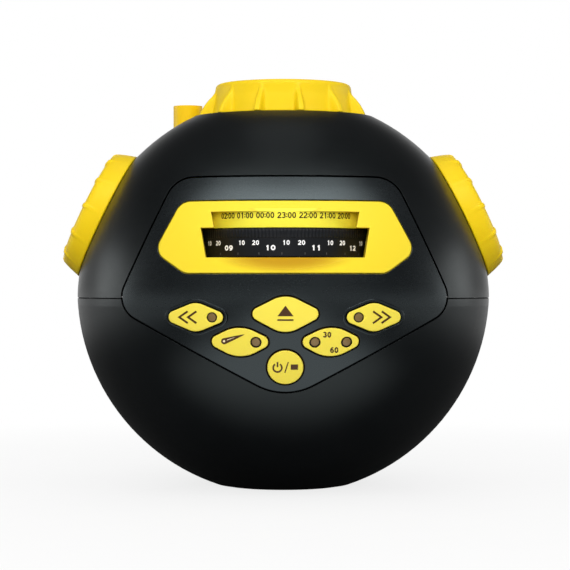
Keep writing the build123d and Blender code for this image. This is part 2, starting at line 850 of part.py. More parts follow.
def trapezoid(half_top: float, half_low: float, high: float, low: float):
    """Symmetric four-sided outline in the front view."""
    points = [(-half_top, high), (half_top, high), (half_low, low), (-half_low, low)]
    return make_face(Polyline(*points, close=True))


def bezel():
    """Window bezel with the hour scale wall, the drum window and the finger scoop."""
    scale_low = drum_top + free_gap
    floor = drum_bottom - free_gap
    drum_axis = Pos(0, -drum_offset, 0)
    flange_back = ball_solid(wall + bezel_flange_depth)
    plate = front_prism(bezel_outline()) & (ball_solid(-bezel_proud) - ball_solid(bezel_wall))
    flange = front_prism(bezel_outline(bezel_flange)) & (ball_solid(wall + fit_gap) - flange_back)
    tie = front_prism(bezel_outline()) & (ball_solid(web_inset) - flange_back)
    body = plate + flange + tie
    scale_cut = trapezoid(scale_top_half, scale_low_half, scale_top, scale_low)
    window_cut = trapezoid(window_top_half, window_low_half, scale_low, floor)
    wide = window_top_half + window_wall
    narrow = window_low_half + window_wall
    walls = front_prism(trapezoid(wide, wide, scale_top + window_wall, scale_low), window_back)
    walls += front_prism(trapezoid(wide, narrow, scale_low, floor - window_wall), window_back)
    scoop_back = drum_offset + drum_radius - scoop_depth
    scoop_face = trapezoid(scoop_half, scoop_half - window_skin, floor, bezel_low + scoop_rise)
    walls += front_prism(scoop_face, scoop_back)
    body += walls & ball_solid(window_skin)
    # the hour scale is a drum-shaped wall behind the skin
    scale_room = front_prism(scale_cut) - drum_axis * tube(scale_radius, 0, 0, reach)
    body -= scale_room
    behind = drum_axis * tube(scale_radius - window_wall, 0, scale_low, reach)
    body -= behind & ball_solid(bezel_wall)
    body -= front_prism(window_cut)
    body -= drum_axis * tube(drum_radius + 2 * free_gap, 0, floor, scale_low)
    # finger scoop: a slope that runs up to the drum's lower edge
    start_y = -skin_radius(scoop_start)
    slope = Plane(origin=(0, start_y, scoop_start), x_dir=(1, 0, 0), z_dir=(0, -1, 1))
    scoop = extrude(slope * Rectangle(2 * scoop_half, drum_radius), drum_radius / 2)
    body -= scoop & block(-scoop_half, scoop_half, -reach, 0, 0, scale_low)
    return body


def key_cap(name: str):
    """Hollow key with a stem for its switch, holes for its lamps and a flange behind the panel."""
    cap = key_prism(key_sketch(name), key_start) & ball_solid(-key_proud)
    cap = fillet([edge for edge in cap.edges() if cap_edge(edge)], key_round)
    cap -= key_prism(key_sketch(name, -key_wall), key_start) & ball_solid(key_skin - key_proud)
    flange_front = wall + key_rest_gap
    flange_back = flange_front + key_flange_thickness
    cap -= ball_solid(flange_back)
    flange = key_prism(key_sketch(name, key_flange) - key_sketch(name, -key_wall), key_start)
    cap += flange & (ball_solid(flange_front) - ball_solid(flange_back))
    u, v = key_centre(name)
    stem = key_prism(Pos(u, v) * Circle(key_stem), 0) & ball_solid(key_skin / 2)
    cap += stem
    if name in keys:
        x, z, _, _, lamps = keys[name]
        for shift in lamps:
            cap -= key_prism(Pos(*key_place(x + shift, z)) * Circle(lamp_hole + lamp_gap), key_start)
    return cap


def cap_edge(edge) -> bool:
    """True for an edge on the outer skin of a key."""
    middle = edge.position_at(0.5)
    return abs(hypot(middle.X, middle.Y) - skin_radius(middle.Z, -key_proud)) < 0.05


def indicator_leds():
    """Indicator lamps that stand on the button board and end flush in the keys."""
    solids = None
    for u, v in lamp_places():
        lamp = key_prism(Pos(u, v) * Circle(lamp_hole), board_front) & ball_solid(lamp_sink)
        solids = lamp if solids is None else solids + lamp
    return solids


def button_board():
    """Printed board behind the keys."""
    top = key_place(0, board_high)[1]
    low = key_place(0, board_low)[1]
    side = [(board_half, top), (board_half, top - board_wing), (board_tongue_half, low)]
    points = side + [(-x, v) for x, v in reversed(side)]
    outline = make_face(Polyline(*points, close=True))
    back = board_front - board_thickness
    board = key_prism(outline, back, board_front)
    for x, z in board_posts:
        hole = Pos(*key_place(x, z)) * Circle(screw_radius / 2 + screw_clear)
        board -= key_prism(hole, back, board_front)
    return board - prong_slots(slot_gap)


def tact_switches():
    """One tact switch behind each key."""
    solids = None
    for name in key_names:
        u, v = key_centre(name)
        top = board_front + switch_height
        can = key_prism(Pos(u, v) * Rectangle(switch_width, switch_width), board_front, top)
        can += key_prism(Pos(u, v) * Circle(switch_plunger), top, top + switch_plunger_height)
        solids = can if solids is None else solids + can
    return solids


def panel_screws():
    """Board screws and the two screws that hold the panel to the deck."""
    solids = None
    for x, z in board_posts:
        u, v = key_place(x, z)
        back = board_front - board_thickness
        thread_end = board_front + post_screw_depth - head_overlap
        screw = key_prism(Pos(u, v) * Circle(screw_radius), back - small_head_height, back)
        screw += key_prism(Pos(u, v) * Circle(screw_radius / 2 - fit_gap), back - head_overlap, thread_end)
        solids = screw if solids is None else solids + screw
    for side in (-1, 1):
        screw = tube(screw_head, 0, deck_low - screw_head_height, deck_low, side * lug_x, -lug_y)
        top = deck_top + lug_height - screw_radius
        screw += tube(screw_radius - 2 * fit_gap, 0, deck_low - head_overlap, top, side * lug_x, -lug_y)
        solids += screw
    return solids


# ======================================================================================================
# deck, lamp, turntable and drum
# ======================================================================================================
def chassis_deck():
    """Round deck with a straight front, the motor socket and holes for its screws."""
    deck = tube(deck_radius, 0, deck_low, deck_top)
    deck &= block(-reach, reach, -deck_front, reach, 0, reach)
    socket_top = deck_top + cup_socket_height
    deck += tube(motor_radius + cup_wall, motor_radius + fit_gap, deck_top, socket_top, 0, motor_y)
    screw_places = pillar_places + [(side * lug_x, -lug_y) for side in (-1, 1)]
    for x, y in screw_places:
        deck -= tube(screw_radius + screw_clear, 0, deck_low, deck_top, x, y)
    # slots for the lid catches
    slot_x = 2 * catch_thickness
    slot_y = catch_slot * catch_width
    for side in (-1, 1):
        x = side * catch_x
        deck -= block(x - slot_x, x + slot_x, -catch_y - slot_y, -catch_y + slot_y, deck_low, deck_top)
    # stand-offs of the main board
    for side_x in (-1, 1):
        for side_y in (-1, 1):
            x = side_x * (main_board_x / 2 - standoff_inset)
            y = side_y * (main_board_y / 2 - standoff_inset)
            deck += tube(standoff_radius, 0, deck_low - main_board_drop, deck_low, x, y)
    # wire hole under the lamp post
    deck -= tube(post_bore, 0, deck_low, deck_top)
    return deck


def deck_screws():
    """Four screws that hold the deck to the base shell's pillars."""
    solids = None
    for x, y in pillar_places:
        screw = tube(screw_head, 0, deck_top, deck_top + screw_head_height, x, y)
        low = deck_top - screw_length + head_overlap
        screw += tube(screw_radius - 2 * fit_gap, 0, low, deck_top + head_overlap, x, y)
        solids = screw if solids is None else solids + screw
    return solids


def lamp_post():
    """Hollow post that carries the star lamp through the turntable's hub."""
    shoulder = gear_low - hub_reach
    points = [
        (post_bore, deck_top),
        (post_foot, deck_top),
        (post_foot, deck_top + post_flange),
        (post_radius + hub_wall, deck_top + 2 * post_flange),
        (post_radius + hub_wall, shoulder),
        (post_radius, shoulder),
        (post_radius, post_top),
        (post_bore, post_top),
    ]
    return turned(points)


def turntable():
    """Gear wheel, hub and cup that carries the star disc round the lamp post."""
    hub_low = gear_low - hub_reach + spindle_play
    bore = post_radius + run_gap
    wide_bore = post_radius + hub_relief
    hub = post_radius + hub_wall
    inside = gear_high - hub_relief
    pocket = disc_radius + disc_gap
    opening = disc_radius - disc_seat_width
    points = [
        (bore, hub_low),
        (hub, hub_low),
        (hub, gear_low),
        (hub + cup_foot, gear_low),
        (hub + cup_foot, gear_high),
        (cup_radius, cup_seat - cup_foot),
        (cup_radius, cup_seat + cup_rim),
        (pocket, cup_seat + cup_rim),
        (pocket, cup_seat),
        (opening, cup_seat),
        (opening, cup_seat - disc_seat_width),
        (wide_bore + cup_wall, inside),
        (wide_bore, inside),
        (wide_bore, post_top),
        (bore, post_top),
    ]
    body = turned(points)
    wheel = gear_face(wheel_teeth, -90, wheel_flank_points) - Circle(hub + hub_relief)
    body += Pos(0, 0, gear_low) * extrude(wheel, gear_high - gear_low)
    return body


def drum_gear():
    """Gear wheel on top of the date drum."""
    gear = gear_face(wheel_teeth, 90 + 180 / wheel_teeth, wheel_flank_points)
    gear -= Circle(spindle_radius + run_gap)
    return Pos(0, -drum_offset, drum_top) * extrude(gear, gear_high - drum_top)


def date_drum():
    """Date drum: printed band, web and hub."""
    inner = drum_radius - drum_wall
    points = [
        (spindle_radius + run_gap, drum_bottom),
        (drum_hub, drum_bottom),
        (drum_hub, drum_top - drum_wall),
        (inner, drum_top - drum_wall),
        (inner, drum_bottom),
        (drum_radius, drum_bottom),
        (drum_radius, drum_top),
        (spindle_radius + run_gap, drum_top),
    ]
    return Pos(0, -drum_offset, 0) * turned(points)


def drum_spindle():
    """Spindle with a shoulder under the drum and a cap over its gear."""
    foot = spindle_shoulder + spindle_foot
    shoulder_top = drum_bottom - spindle_play
    cap_low = gear_high + spindle_play
    cap_high = cap_low + spindle_cap
    points = [
        (0, deck_top),
        (foot, deck_top),
        (foot, deck_top + spindle_foot),
        (spindle_shoulder, deck_top + 2 * spindle_foot),
        (spindle_shoulder, shoulder_top),
        (spindle_radius, shoulder_top),
        (spindle_radius, cap_low),
        (spindle_radius + spindle_cap, cap_low),
        (spindle_radius + spindle_cap / 2, cap_high),
        (0, cap_high),
    ]
    return Pos(0, -drum_offset, 0) * turned(points)


def star_led_board():
    """Round board on top of the lamp post."""
    return tube(post_radius - free_gap, 0, post_top, post_top + led_board_thickness)


def star_led():
    """Lamp with a domed top."""
    low = post_top + led_board_thickness
    high = low + led_height
    points = [
        (0, low),
        (led_radius, low),
        (led_radius, low + led_height / 3),
        (led_radius * led_dome, high),
        (0, high),
    ]
    return turned(points)


def condenser_lens():
    """Collimator with a skirt that stands on the lamp board round the lamp."""
    low = post_top + led_board_thickness
    high = low + condenser_height
    size = condenser_radius
    edge = high - condenser_bulge
    skirt = size - skirt_wall
    room = low + led_height + 2 * free_gap
    outline = [
        Line((skirt, low), (size, low)),
        Line((size, low), (size, edge)),
        ThreePointArc((size, edge), (size / 2, edge + dome(size, condenser_bulge, size / 2)), (0, high)),
        Line((0, high), (0, room)),
        Line((0, room), (skirt, room)),
        Line((skirt, room), (skirt, low)),
    ]
    return revolve(Plane.XZ * make_face(outline), Axis.Z)


def gear_motor():
    """Geared motor that stands in the deck's socket."""
    top = deck_top + motor_height
    body = tube(motor_radius, 0, deck_top, top, 0, motor_y)
    body += tube(motor_boss, 0, top, top + motor_boss_height, 0, motor_y)
    body -= tube(shaft_radius + run_gap, 0, top - shaft_depth, top + motor_boss_height, 0, motor_y)
    return body


def drive_pinion():
    """Pinion moulded on its shaft."""
    low = gear_low - pinion_extra
    gear = gear_face(pinion_teeth, -90 + 180 / pinion_teeth, pinion_flank_points)
    body = Pos(0, motor_y, low) * extrude(gear, gear_high - low + pinion_extra)
    shaft_low = deck_top + motor_height - shaft_depth + spindle_play
    body += tube(shaft_radius, 0, shaft_low, gear_low, 0, motor_y)
    return body


def star_disc():
    """Star disc in the turntable's seat, with a grip notch on two sides."""
    low = cup_seat
    disc = tube(disc_radius, 0, low, low + disc_thickness)
    for side in (-1, 1):
        disc -= tube(disc_notch, 0, low, low + disc_thickness, side * disc_radius, 0)
    return disc


# ======================================================================================================
# lens group, knobs and meteor projector in the lid
# ======================================================================================================
def lens_collar():
    """Collar under the lid's rim that guides the lens barrel and bears the focus ring."""
    inner = collar_outer - collar_wall
    flange_top = rim_height - wall
    points = [
        (inner, collar_low),
        (collar_outer, collar_low),
        (collar_outer, flange_top - collar_flange_thickness),
        (collar_flange, flange_top - collar_flange_thickness),
        (collar_flange, flange_top),
        (collar_outer, flange_top),
        (collar_outer, collar_high),
        (inner, collar_high),
    ]
    collar = turned(points)
    for x, y in collar_screw_places():
        collar -= tube(screw_radius + screw_clear, 0, flange_top - collar_flange_thickness, flange_top, x, y)
    return collar


def collar_screw_places() -> list:
    """Places of the collar's screws."""
    place = (collar_outer + collar_flange) / 2
    angles = [radians(90 + 360 * turn / collar_screw_count) for turn in range(collar_screw_count)]
    return [(place * cos(angle), place * sin(angle)) for angle in angles]


def collar_screws():
    """Three screws that hold the collar's flange under the lid's rim."""
    solids = None
    seat = rim_height - wall - collar_flange_thickness
    for x, y in collar_screw_places():
        screw = tube(collar_screw_head, 0, seat - collar_head_height, seat, x, y)
        end = rim_height - rim_skin - fit_gap
        screw += tube(screw_radius - 2 * fit_gap, 0, seat - head_overlap, end, x, y)
        solids = screw if solids is None else solids + screw
    return solids


lens_drop = dome(lens_radius, lens_bulge, lens_radius - lens_lip) + fit_gap


def lens_barrel():
    """Barrel that slides in the collar: front lens seat above, rear lens seat below."""
    outer = collar_outer - collar_wall - run_gap
    inner = lens_radius + fit_gap
    lip = lens_radius - lens_lip
    points = [
        (inner, barrel_low),
        (outer, barrel_low),
        (outer, barrel_high),
        (inner, barrel_high),
        (inner, front_lens_height - lens_drop),
        (lip, front_lens_height - lens_drop),
        (lip, rear_lens_height + lens_edge + lens_drop),
        (inner, rear_lens_height + lens_edge + lens_drop),
    ]
    return turned(points)


def lens_retainers():
    """Threaded rings that hold the front and the rear lens."""
    high = front_lens_height + lens_edge
    low = rear_lens_height
    front = tube(lens_radius, lens_radius - lens_lip, high + lens_drop, high + retainer_height)
    rear = tube(lens_radius, lens_radius - lens_lip, low - retainer_height, low - lens_drop)
    return front + rear


def focus_ring():
    """Focus ring with flaring grip fins."""
    bore = collar_outer + run_gap
    points = [
        (bore, ring_low),
        (ring_low_radius, ring_low),
        (ring_top_radius, ring_high - ring_chamfer),
        (ring_top_radius - ring_chamfer, ring_high),
        (collar_outer - ring_lip, ring_high),
        (collar_outer - ring_lip, collar_high + ring_play),
        (bore, collar_high + ring_play),
    ]
    body = turned(points)
    fin_high = ring_high - ring_fin_drop
    fin_root = bore + ring_fin_root
    fin_top = ring_top_radius + disc_gap
    middle = ((ring_fin_radius + ring_top_radius) / 2 + ring_fin_bow, (ring_low + fin_high) / 2)
    # bowed fin flank from the ring's top to its foot
    flank = [
        Line((fin_root, ring_low), (ring_fin_radius, ring_low)),
        ThreePointArc((ring_fin_radius, ring_low), middle, (fin_top, fin_high)),
        Line((fin_top, fin_high), (fin_root, fin_high)),
        Line((fin_root, fin_high), (fin_root, ring_low)),
    ]
    half_low = ring_fin_low_width / 2
    half_top = ring_fin_top_width / 2
    blade = extrude(Plane.XZ * make_face(flank), half_low, both=True)
    # the fin narrows towards the top
    taper = trapezoid(half_top, half_low, fin_high, ring_low)
    blade &= extrude(Plane.YZ * taper, ring_fin_radius + ring_fin_root)
    for index in range(ring_fin_count):
        body += Rot(0, 0, -90 + ring_phase + 360 * index / ring_fin_count) * blade
    return body


def knob(side: int):
    """Side knob: finned cap and shaft."""
    low = seat_distance + knob_gap
    depth = knob_face - low
    inside = depth - knob_wall - knob_web_gap
    local = knob_plane(side, low)
    outline = [
        (0, depth),
        (knob_face_radius - knob_chamfer, depth),
        (knob_face_radius, depth - knob_chamfer),
        (knob_base_radius, 0),
        (knob_base_radius - knob_wall, 0),
        (knob_face_radius - knob_wall, inside),
        (2 * knob_shaft, inside),
        (2 * knob_shaft, knob_web_gap),
        (0, knob_web_gap),
    ]
    body = turned(outline)
    fin_top = depth + knob_fin_proud
    fin_root = knob_face_radius - knob_shaft
    fin = [
        (fin_root, 0),
        (knob_fin_base, 0),
        (knob_fin_face, fin_top - knob_fin_chamfer),
        (knob_fin_face - knob_fin_chamfer, fin_top),
        (fin_root - knob_wall, depth - knob_fin_proud),
        (fin_root, depth - knob_shaft),
    ]
    blade = extrude(Plane.XZ * make_face(Polyline(*fin, close=True)), knob_fin_width / 2, both=True)
    for index in range(knob_fin_count):
        body += Rot(0, 0, 360 * index / knob_fin_count) * blade
    body += tube(knob_shaft, 0, -knob_shaft_reach, knob_web_gap + head_overlap)
    return local.location * body


def pot(side: int):
    """Potentiometer behind a knob's seat with its bushing through the lid."""
    top = seat_distance - wall
    body = knob_disc(side, pot_radius, top - pot_height, top)
    body += knob_disc(side, knob_bushing, top, seat_distance)
    bore_low = seat_distance + knob_gap - knob_shaft_reach - free_gap
    body -= knob_disc(side, knob_shaft + run_gap, bore_low, seat_distance)
    tab = knob_plane(side, top - pot_height + pot_tab_thickness)
    tab_place = Pos(0, pot_tab_thickness - pot_radius - pot_tab_length / 2)
    body += extrude(tab * tab_place * Rectangle(pot_tab_width, pot_tab_length), pot_tab_thickness)
    return body


def meteor_tube():
    """Tube of the meteor projector."""
    return tube(meteor_radius, meteor_radius - meteor_wall, meteor_low, meteor_top, meteor_x, meteor_y)


def meteor_lens():
    """Small lens in the meteor tube."""
    radius = meteor_radius - meteor_wall - fit_gap
    lens = lens_solid(meteor_top - meteor_lens_drop, radius, meteor_lens_edge, meteor_lens_bulge)
    return Pos(meteor_x, meteor_y, 0) * lens


def meteor_led():
    """Lamp board that closes the lower end of the meteor tube."""
    body = tube(meteor_radius, 0, meteor_low - meteor_board, meteor_low, meteor_x, meteor_y)
    body += tube(led_radius, 0, meteor_low - head_overlap, meteor_low + meteor_led_height, meteor_x, meteor_y)
    return body


def lid_catches():
    """Two catches that hang from the lid's wall beside the panel."""
    solids = None
    half = catch_thickness / 2
    high = seam_height + catch_web
    for side in (-1, 1):
        # arm beside the latch slide, and a web that follows the lid's wall
        web_end = catch_x + catch_web_reach
        web_low = seam_height + 2 * seam_gap
        spans = [
            (catch_x - half, catch_x + half, catch_width / 2, seam_height - catch_drop, high),
            (catch_x - half, web_end, half, web_low, high),
        ]
        for x0, x1, half_width, low, top in spans:
            ends = sorted((side * x0, side * x1))
            arm = block(*ends, -catch_y - half_width, -catch_y + half_width, low, top)
            arm &= ball_solid(wall + fit_gap)
            solids = arm if solids is None else solids + arm
    return solids


def hinge_pin():
    """Pin through all hinge knuckles."""
    half = hinge_spacing + knuckle_length + head_overlap
    return extrude(Plane.YZ.offset(-half) * Pos(hinge_y, seam_height) * Circle(hinge_pin_radius), 2 * half)


# ======================================================================================================
# base: foot, battery, boards, inlet
# ======================================================================================================
def rubber_foot():
    """Rubber foot under the base, with a shallow ring groove."""
    foot = tube(foot_radius, 0, 0, foot_thickness)
    return foot - tube(foot_groove + foot_groove_width, foot_groove, 0, foot_groove_depth)


cell_level = box_outer - box_depth + box_floor + cell_radius + 2 * fit_gap
box_width = door_width + 2 * door_gap - 2 * fit_gap
box_round = door_round + door_gap - fit_gap
cell_places = [(index - (cell_count - 1) / 2) * cell_pitch for index in range(cell_count)]


def battery_box():
    """Open box behind the battery door."""
    sketch = RectangleRounded(box_width, box_height, box_round)
    hole = RectangleRounded(box_width - 2 * box_wall, box_height - 2 * box_wall, box_round - box_wall)
    box = extrude(door_plane.offset(box_outer - box_depth) * sketch, box_depth)
    box -= extrude(door_plane.offset(box_outer - box_depth + box_floor) * hole, box_depth)
    return box


def battery_cells():
    """Row of cells across the box."""
    solids = None
    for place in cell_places:
        side_plane = Plane(door_plane.location * Pos(-cell_length / 2, place, cell_level) * Rot(0, 90, 0))
        cell = extrude(side_plane * Circle(cell_radius), cell_length)
        cell += extrude(side_plane * Circle(nub_radius), cell_length + nub_height)
        solids = cell if solids is None else solids + cell
    return solids


def battery_contacts():
    """Contact plates at both ends of the cells."""
    solids = None
    inner = box_width / 2 - box_wall
    plate = Box(contact_thickness, contact_size, contact_size)
    for side, end in ((-1, 0.0), (1, nub_height)):
        # sprung tongue that reaches towards the cell
        gap = inner - contact_thickness - cell_length / 2 - end - seat_gap
        tongue = Rot(0, 90, 0) * Cone(nub_radius, tongue_tip, gap)
        for place in cell_places:
            piece = Pos(side * (inner - contact_thickness / 2), place, cell_level) * plate
            piece += Pos(side * (inner - contact_thickness - gap / 2), place, cell_level) * tongue
            piece = door_plane.location * piece
            solids = piece if solids is None else solids + piece
    return solids


def battery_door():
    """Battery door flush with the ball, with a countersunk screw hole."""
    door = door_prism(0, door_start, ball_radius + wall) & (ball_solid() - ball_solid(wall))
    door -= door_screw_prism(screw_radius + screw_clear, door_start, ball_radius)
    door -= door_screw_prism(screw_head + screw_clear, door_screw_seat, ball_radius)
    return door


def battery_door_screw():
    """Screw of the battery door."""
    screw = door_screw_prism(screw_head, door_screw_seat, door_screw_seat + small_head_height)
    low = door_screw_seat - door_screw_length
    screw += door_screw_prism(screw_radius, low, door_screw_seat + head_overlap)
    return screw


def main_board():
    """Main board hung under the deck."""
    top = deck_low - main_board_drop
    low = top - board_thickness
    half_x, half_y = main_board_x / 2, main_board_y / 2
    board = block(-half_x, half_x, -half_y, half_y, low, top)
    board += block(-chip_x / 2, chip_x / 2, -chip_y / 2, chip_y / 2, low - chip_height, low)
    for x, y in capacitor_places:
        board += tube(capacitor_radius, 0, low - capacitor_height, low, x, y)
    return board


def dc_jack():
    """Barrel inlet with its centre pin."""
    mouth = skin_radius(jack_height) - jack_sink
    half = jack_width / 2
    front = mouth - wall - jack_back_gap
    body = block(-half, half, mouth - wall - jack_depth, front, jack_height - half, jack_height + half)
    face = Plane.XZ.offset(-mouth) * Pos(0, jack_height)
    body += extrude(face * Circle(jack_bore + jack_wall), 2 * wall)
    body -= extrude(face * Circle(jack_bore), jack_bore_depth)
    pin_face = Plane.XZ.offset(jack_wall - mouth) * Pos(0, jack_height)
    return jack_place(body + extrude(pin_face * Circle(jack_pin), jack_bore_depth))


def latch_slide():
    """Latch slide under the deck: bar, two prongs to the eject key, two arms to the catches."""
    high = deck_low - free_gap
    low = high - latch_thickness
    back = -catch_y + latch_arm / 2
    front = -catch_y - latch_arm / 2
    bar = block(-latch_bar, latch_bar, front - latch_width, front + web_inset, low, high)
    # the prongs end just behind the eject key's flange
    stop = ball_solid(wall + key_rest_gap + key_flange_thickness + key_rest_gap)
    arm_end = catch_x - catch_thickness / 2 - free_gap
    for side in (-1, 1):
        arm = sorted((side * (latch_bar - latch_arm), side * arm_end))
        bar += block(*arm, front, back, low, high)
        prong = sorted((side * (prong_x - prong_width / 2), side * (prong_x + prong_width / 2)))
        bar += block(*prong, -ball_radius, front - web_inset, low, high) & stop
    return bar


def prong_slots(grow: float):
    """Room for the latch prongs through the button board."""
    slots = None
    for side in (-1, 1):
        half = prong_width / 2 + grow
        ends = sorted((side * (prong_x - half), side * (prong_x + half)))
        low = deck_low - free_gap - latch_thickness
        slot = block(*ends, -ball_radius, -deck_front, low - grow, deck_low + 2 * grow)
        slots = slot if slots is None else slots + slot
    return slots


# ======================================================================================================
# write every sub-part
# ======================================================================================================
parts = {
    "lower_shell": lower_shell(),
    "upper_shell": upper_shell(),
    "front_panel": panel(),
    "window_bezel": bezel(),
    "rubber_foot": rubber_foot(),
    "chassis_deck": chassis_deck(),
    "deck_screws": deck_screws(),
    "panel_screws": panel_screws(),
    "lamp_post": lamp_post(),
    "star_led_board": star_led_board(),
    "star_led": star_led(),
    "condenser_lens": condenser_lens(),
    "gear_motor": gear_motor(),
    "drive_pinion": drive_pinion(),
    "turntable": turntable(),
    "star_disc": star_disc(),
    "date_drum": date_drum(),
    "drum_gear": drum_gear(),
    "drum_spindle": drum_spindle(),
    "lens_collar": lens_collar(),
    "collar_screws": collar_screws(),
    "lens_barrel": lens_barrel(),
    "front_lens": lens_solid(front_lens_height, lens_radius, lens_edge, lens_bulge),
    "rear_lens": lens_solid(rear_lens_height, lens_radius, lens_edge, lens_bulge),
    "lens_retainers": lens_retainers(),
    "focus_ring": focus_ring(),
    "left_knob": knob(-1),
    "right_knob": knob(1),
    "left_pot": pot(-1),
    "right_pot": pot(1),
    "meteor_tube": meteor_tube(),
    "meteor_lens": meteor_lens(),
    "meteor_led": meteor_led(),
    "lid_catches": lid_catches(),
    "hinge_pin": hinge_pin(),
    "button_board": button_board(),
    "tact_switches": tact_switches(),
    "indicator_leds": indicator_leds(),
    "battery_box": battery_box(),
    "battery_cells": battery_cells(),
    "battery_contacts": battery_contacts(),
    "battery_door": battery_door(),
    "battery_door_screw": battery_door_screw(),
    "main_board": main_board(),
    "dc_jack": dc_jack(),
    "latch_slide": latch_slide(),
}
for key_name in key_names:
    parts[key_name] = key_cap(key_name)

for part_name, part_solid in parts.items():
    save(part_name, part_solid)
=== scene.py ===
"""Star projector: finishes, printed scales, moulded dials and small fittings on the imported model.

Every length is in metres in the model's own frame: +Z runs up the optical axis, the user
stands at -Y and +X is to the user's right.
"""
import logging
import math
from dataclasses import dataclass, field
from enum import Enum
from typing import Dict, List, Optional, Sequence, Tuple, Union

import bpy
import numpy as np
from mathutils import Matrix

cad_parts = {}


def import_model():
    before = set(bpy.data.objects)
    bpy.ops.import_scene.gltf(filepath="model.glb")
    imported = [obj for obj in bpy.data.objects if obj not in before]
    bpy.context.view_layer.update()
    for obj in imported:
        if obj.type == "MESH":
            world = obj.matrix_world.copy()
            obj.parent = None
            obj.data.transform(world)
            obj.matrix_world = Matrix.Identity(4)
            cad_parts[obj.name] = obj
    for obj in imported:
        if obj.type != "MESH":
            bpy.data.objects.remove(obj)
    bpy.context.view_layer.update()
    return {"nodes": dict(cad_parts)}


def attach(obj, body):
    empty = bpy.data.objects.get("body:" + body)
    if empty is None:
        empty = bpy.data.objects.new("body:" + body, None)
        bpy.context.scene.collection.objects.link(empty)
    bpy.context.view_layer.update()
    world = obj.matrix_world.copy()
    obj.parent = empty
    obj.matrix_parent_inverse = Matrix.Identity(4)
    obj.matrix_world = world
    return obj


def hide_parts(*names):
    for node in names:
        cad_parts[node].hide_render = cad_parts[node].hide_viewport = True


log = logging.getLogger("star_projector")

MM = 0.001
Colour = Tuple[float, float, float]
Array = np.ndarray
Value = Union["Wire", float]
ProfileRow = Tuple[float, float, float, float, float]

BALL_RADIUS = 84.0 * MM
LID_CENTRE = 74.6 * MM
BASE_CENTRE = 80.0 * MM
DRUM_AXIS = -46.0 * MM
KEY_PROUD = 0.5 * MM
PRINT_LIFT = 0.035 * MM
PRINT_THICKNESS = 0.03 * MM

# places in the front view, in millimetres
SIDE_KEY_HEIGHT = 69.6
LOW_KEY_HEIGHT = 60.5
SIDE_LAMP = 27.2
SIDE_KEY_MIDDLES = {"rewind": -33.35, "forward": 33.0}
LAMP_PLACES = (
    (-SIDE_LAMP, SIDE_KEY_HEIGHT),
    (SIDE_LAMP, SIDE_KEY_HEIGHT),
    (-10.9, LOW_KEY_HEIGHT),
    (10.9, LOW_KEY_HEIGHT),
    (22.7, LOW_KEY_HEIGHT),
)


# ------------------------------------------------------------------------------------------
# shader graphs
# ------------------------------------------------------------------------------------------
class Wire:
    """An output socket or a number that arithmetic extends with Math nodes."""

    def __init__(self, graph: "Graph", socket: bpy.types.NodeSocket) -> None:
        """Keep the graph that owns the socket.

        Args:
            graph: Graph in which new nodes are made.
            socket: Output socket that this wire starts from.
        """
        self.graph = graph
        self.socket = socket

    def math(self, operation: str, *values: Value) -> "Wire":
        """Feed values to one Math node.

        Args:
            operation: The Math node's operation.
            values: Its inputs in order, wires or numbers.

        Returns:
            The node's result.
        """
        node = self.graph.node("ShaderNodeMath", {"operation": operation}, dict(enumerate(values)))
        return Wire(self.graph, node.outputs[0])

    def larger(self, other: "Wire") -> "Wire":
        """The larger of two values."""
        return self.math("MAXIMUM", self, other)

    def size(self) -> "Wire":
        """Absolute value."""
        return self.math("ABSOLUTE", self)

    def __add__(self, other: Value) -> "Wire":
        """Sum."""
        return self.math("ADD", self, other)

    __radd__ = __add__

    def __mul__(self, other: Value) -> "Wire":
        """Product."""
        return self.math("MULTIPLY", self, other)

    __rmul__ = __mul__

    def __sub__(self, other: Value) -> "Wire":
        """Difference."""
        return self.math("SUBTRACT", self, other)

    def __rsub__(self, other: Value) -> "Wire":
        """Difference from a number."""
        return self.math("SUBTRACT", other, self)

    def __pow__(self, other: Value) -> "Wire":
        """Power."""
        return self.math("POWER", self, other)

    def step(self, low: float, high: float) -> "Wire":
        """Smooth rise from 0 at low to 1 at high.

        Args:
            low: Value at which the rise starts.
            high: Value at which it ends.

        Returns:
            The wire of the eased value.
        """
        settings = {"interpolation_type": "SMOOTHSTEP"}
        inputs = {0: self, 1: low, 2: high, 3: 0.0, 4: 1.0}
        node = self.graph.node("ShaderNodeMapRange", settings, inputs)
        return Wire(self.graph, node.outputs[0])


class CellPattern(Enum):
    """What the distance in a cell pattern is measured from."""

    CENTRES = "F1"
    BORDERS = "DISTANCE_TO_EDGE"


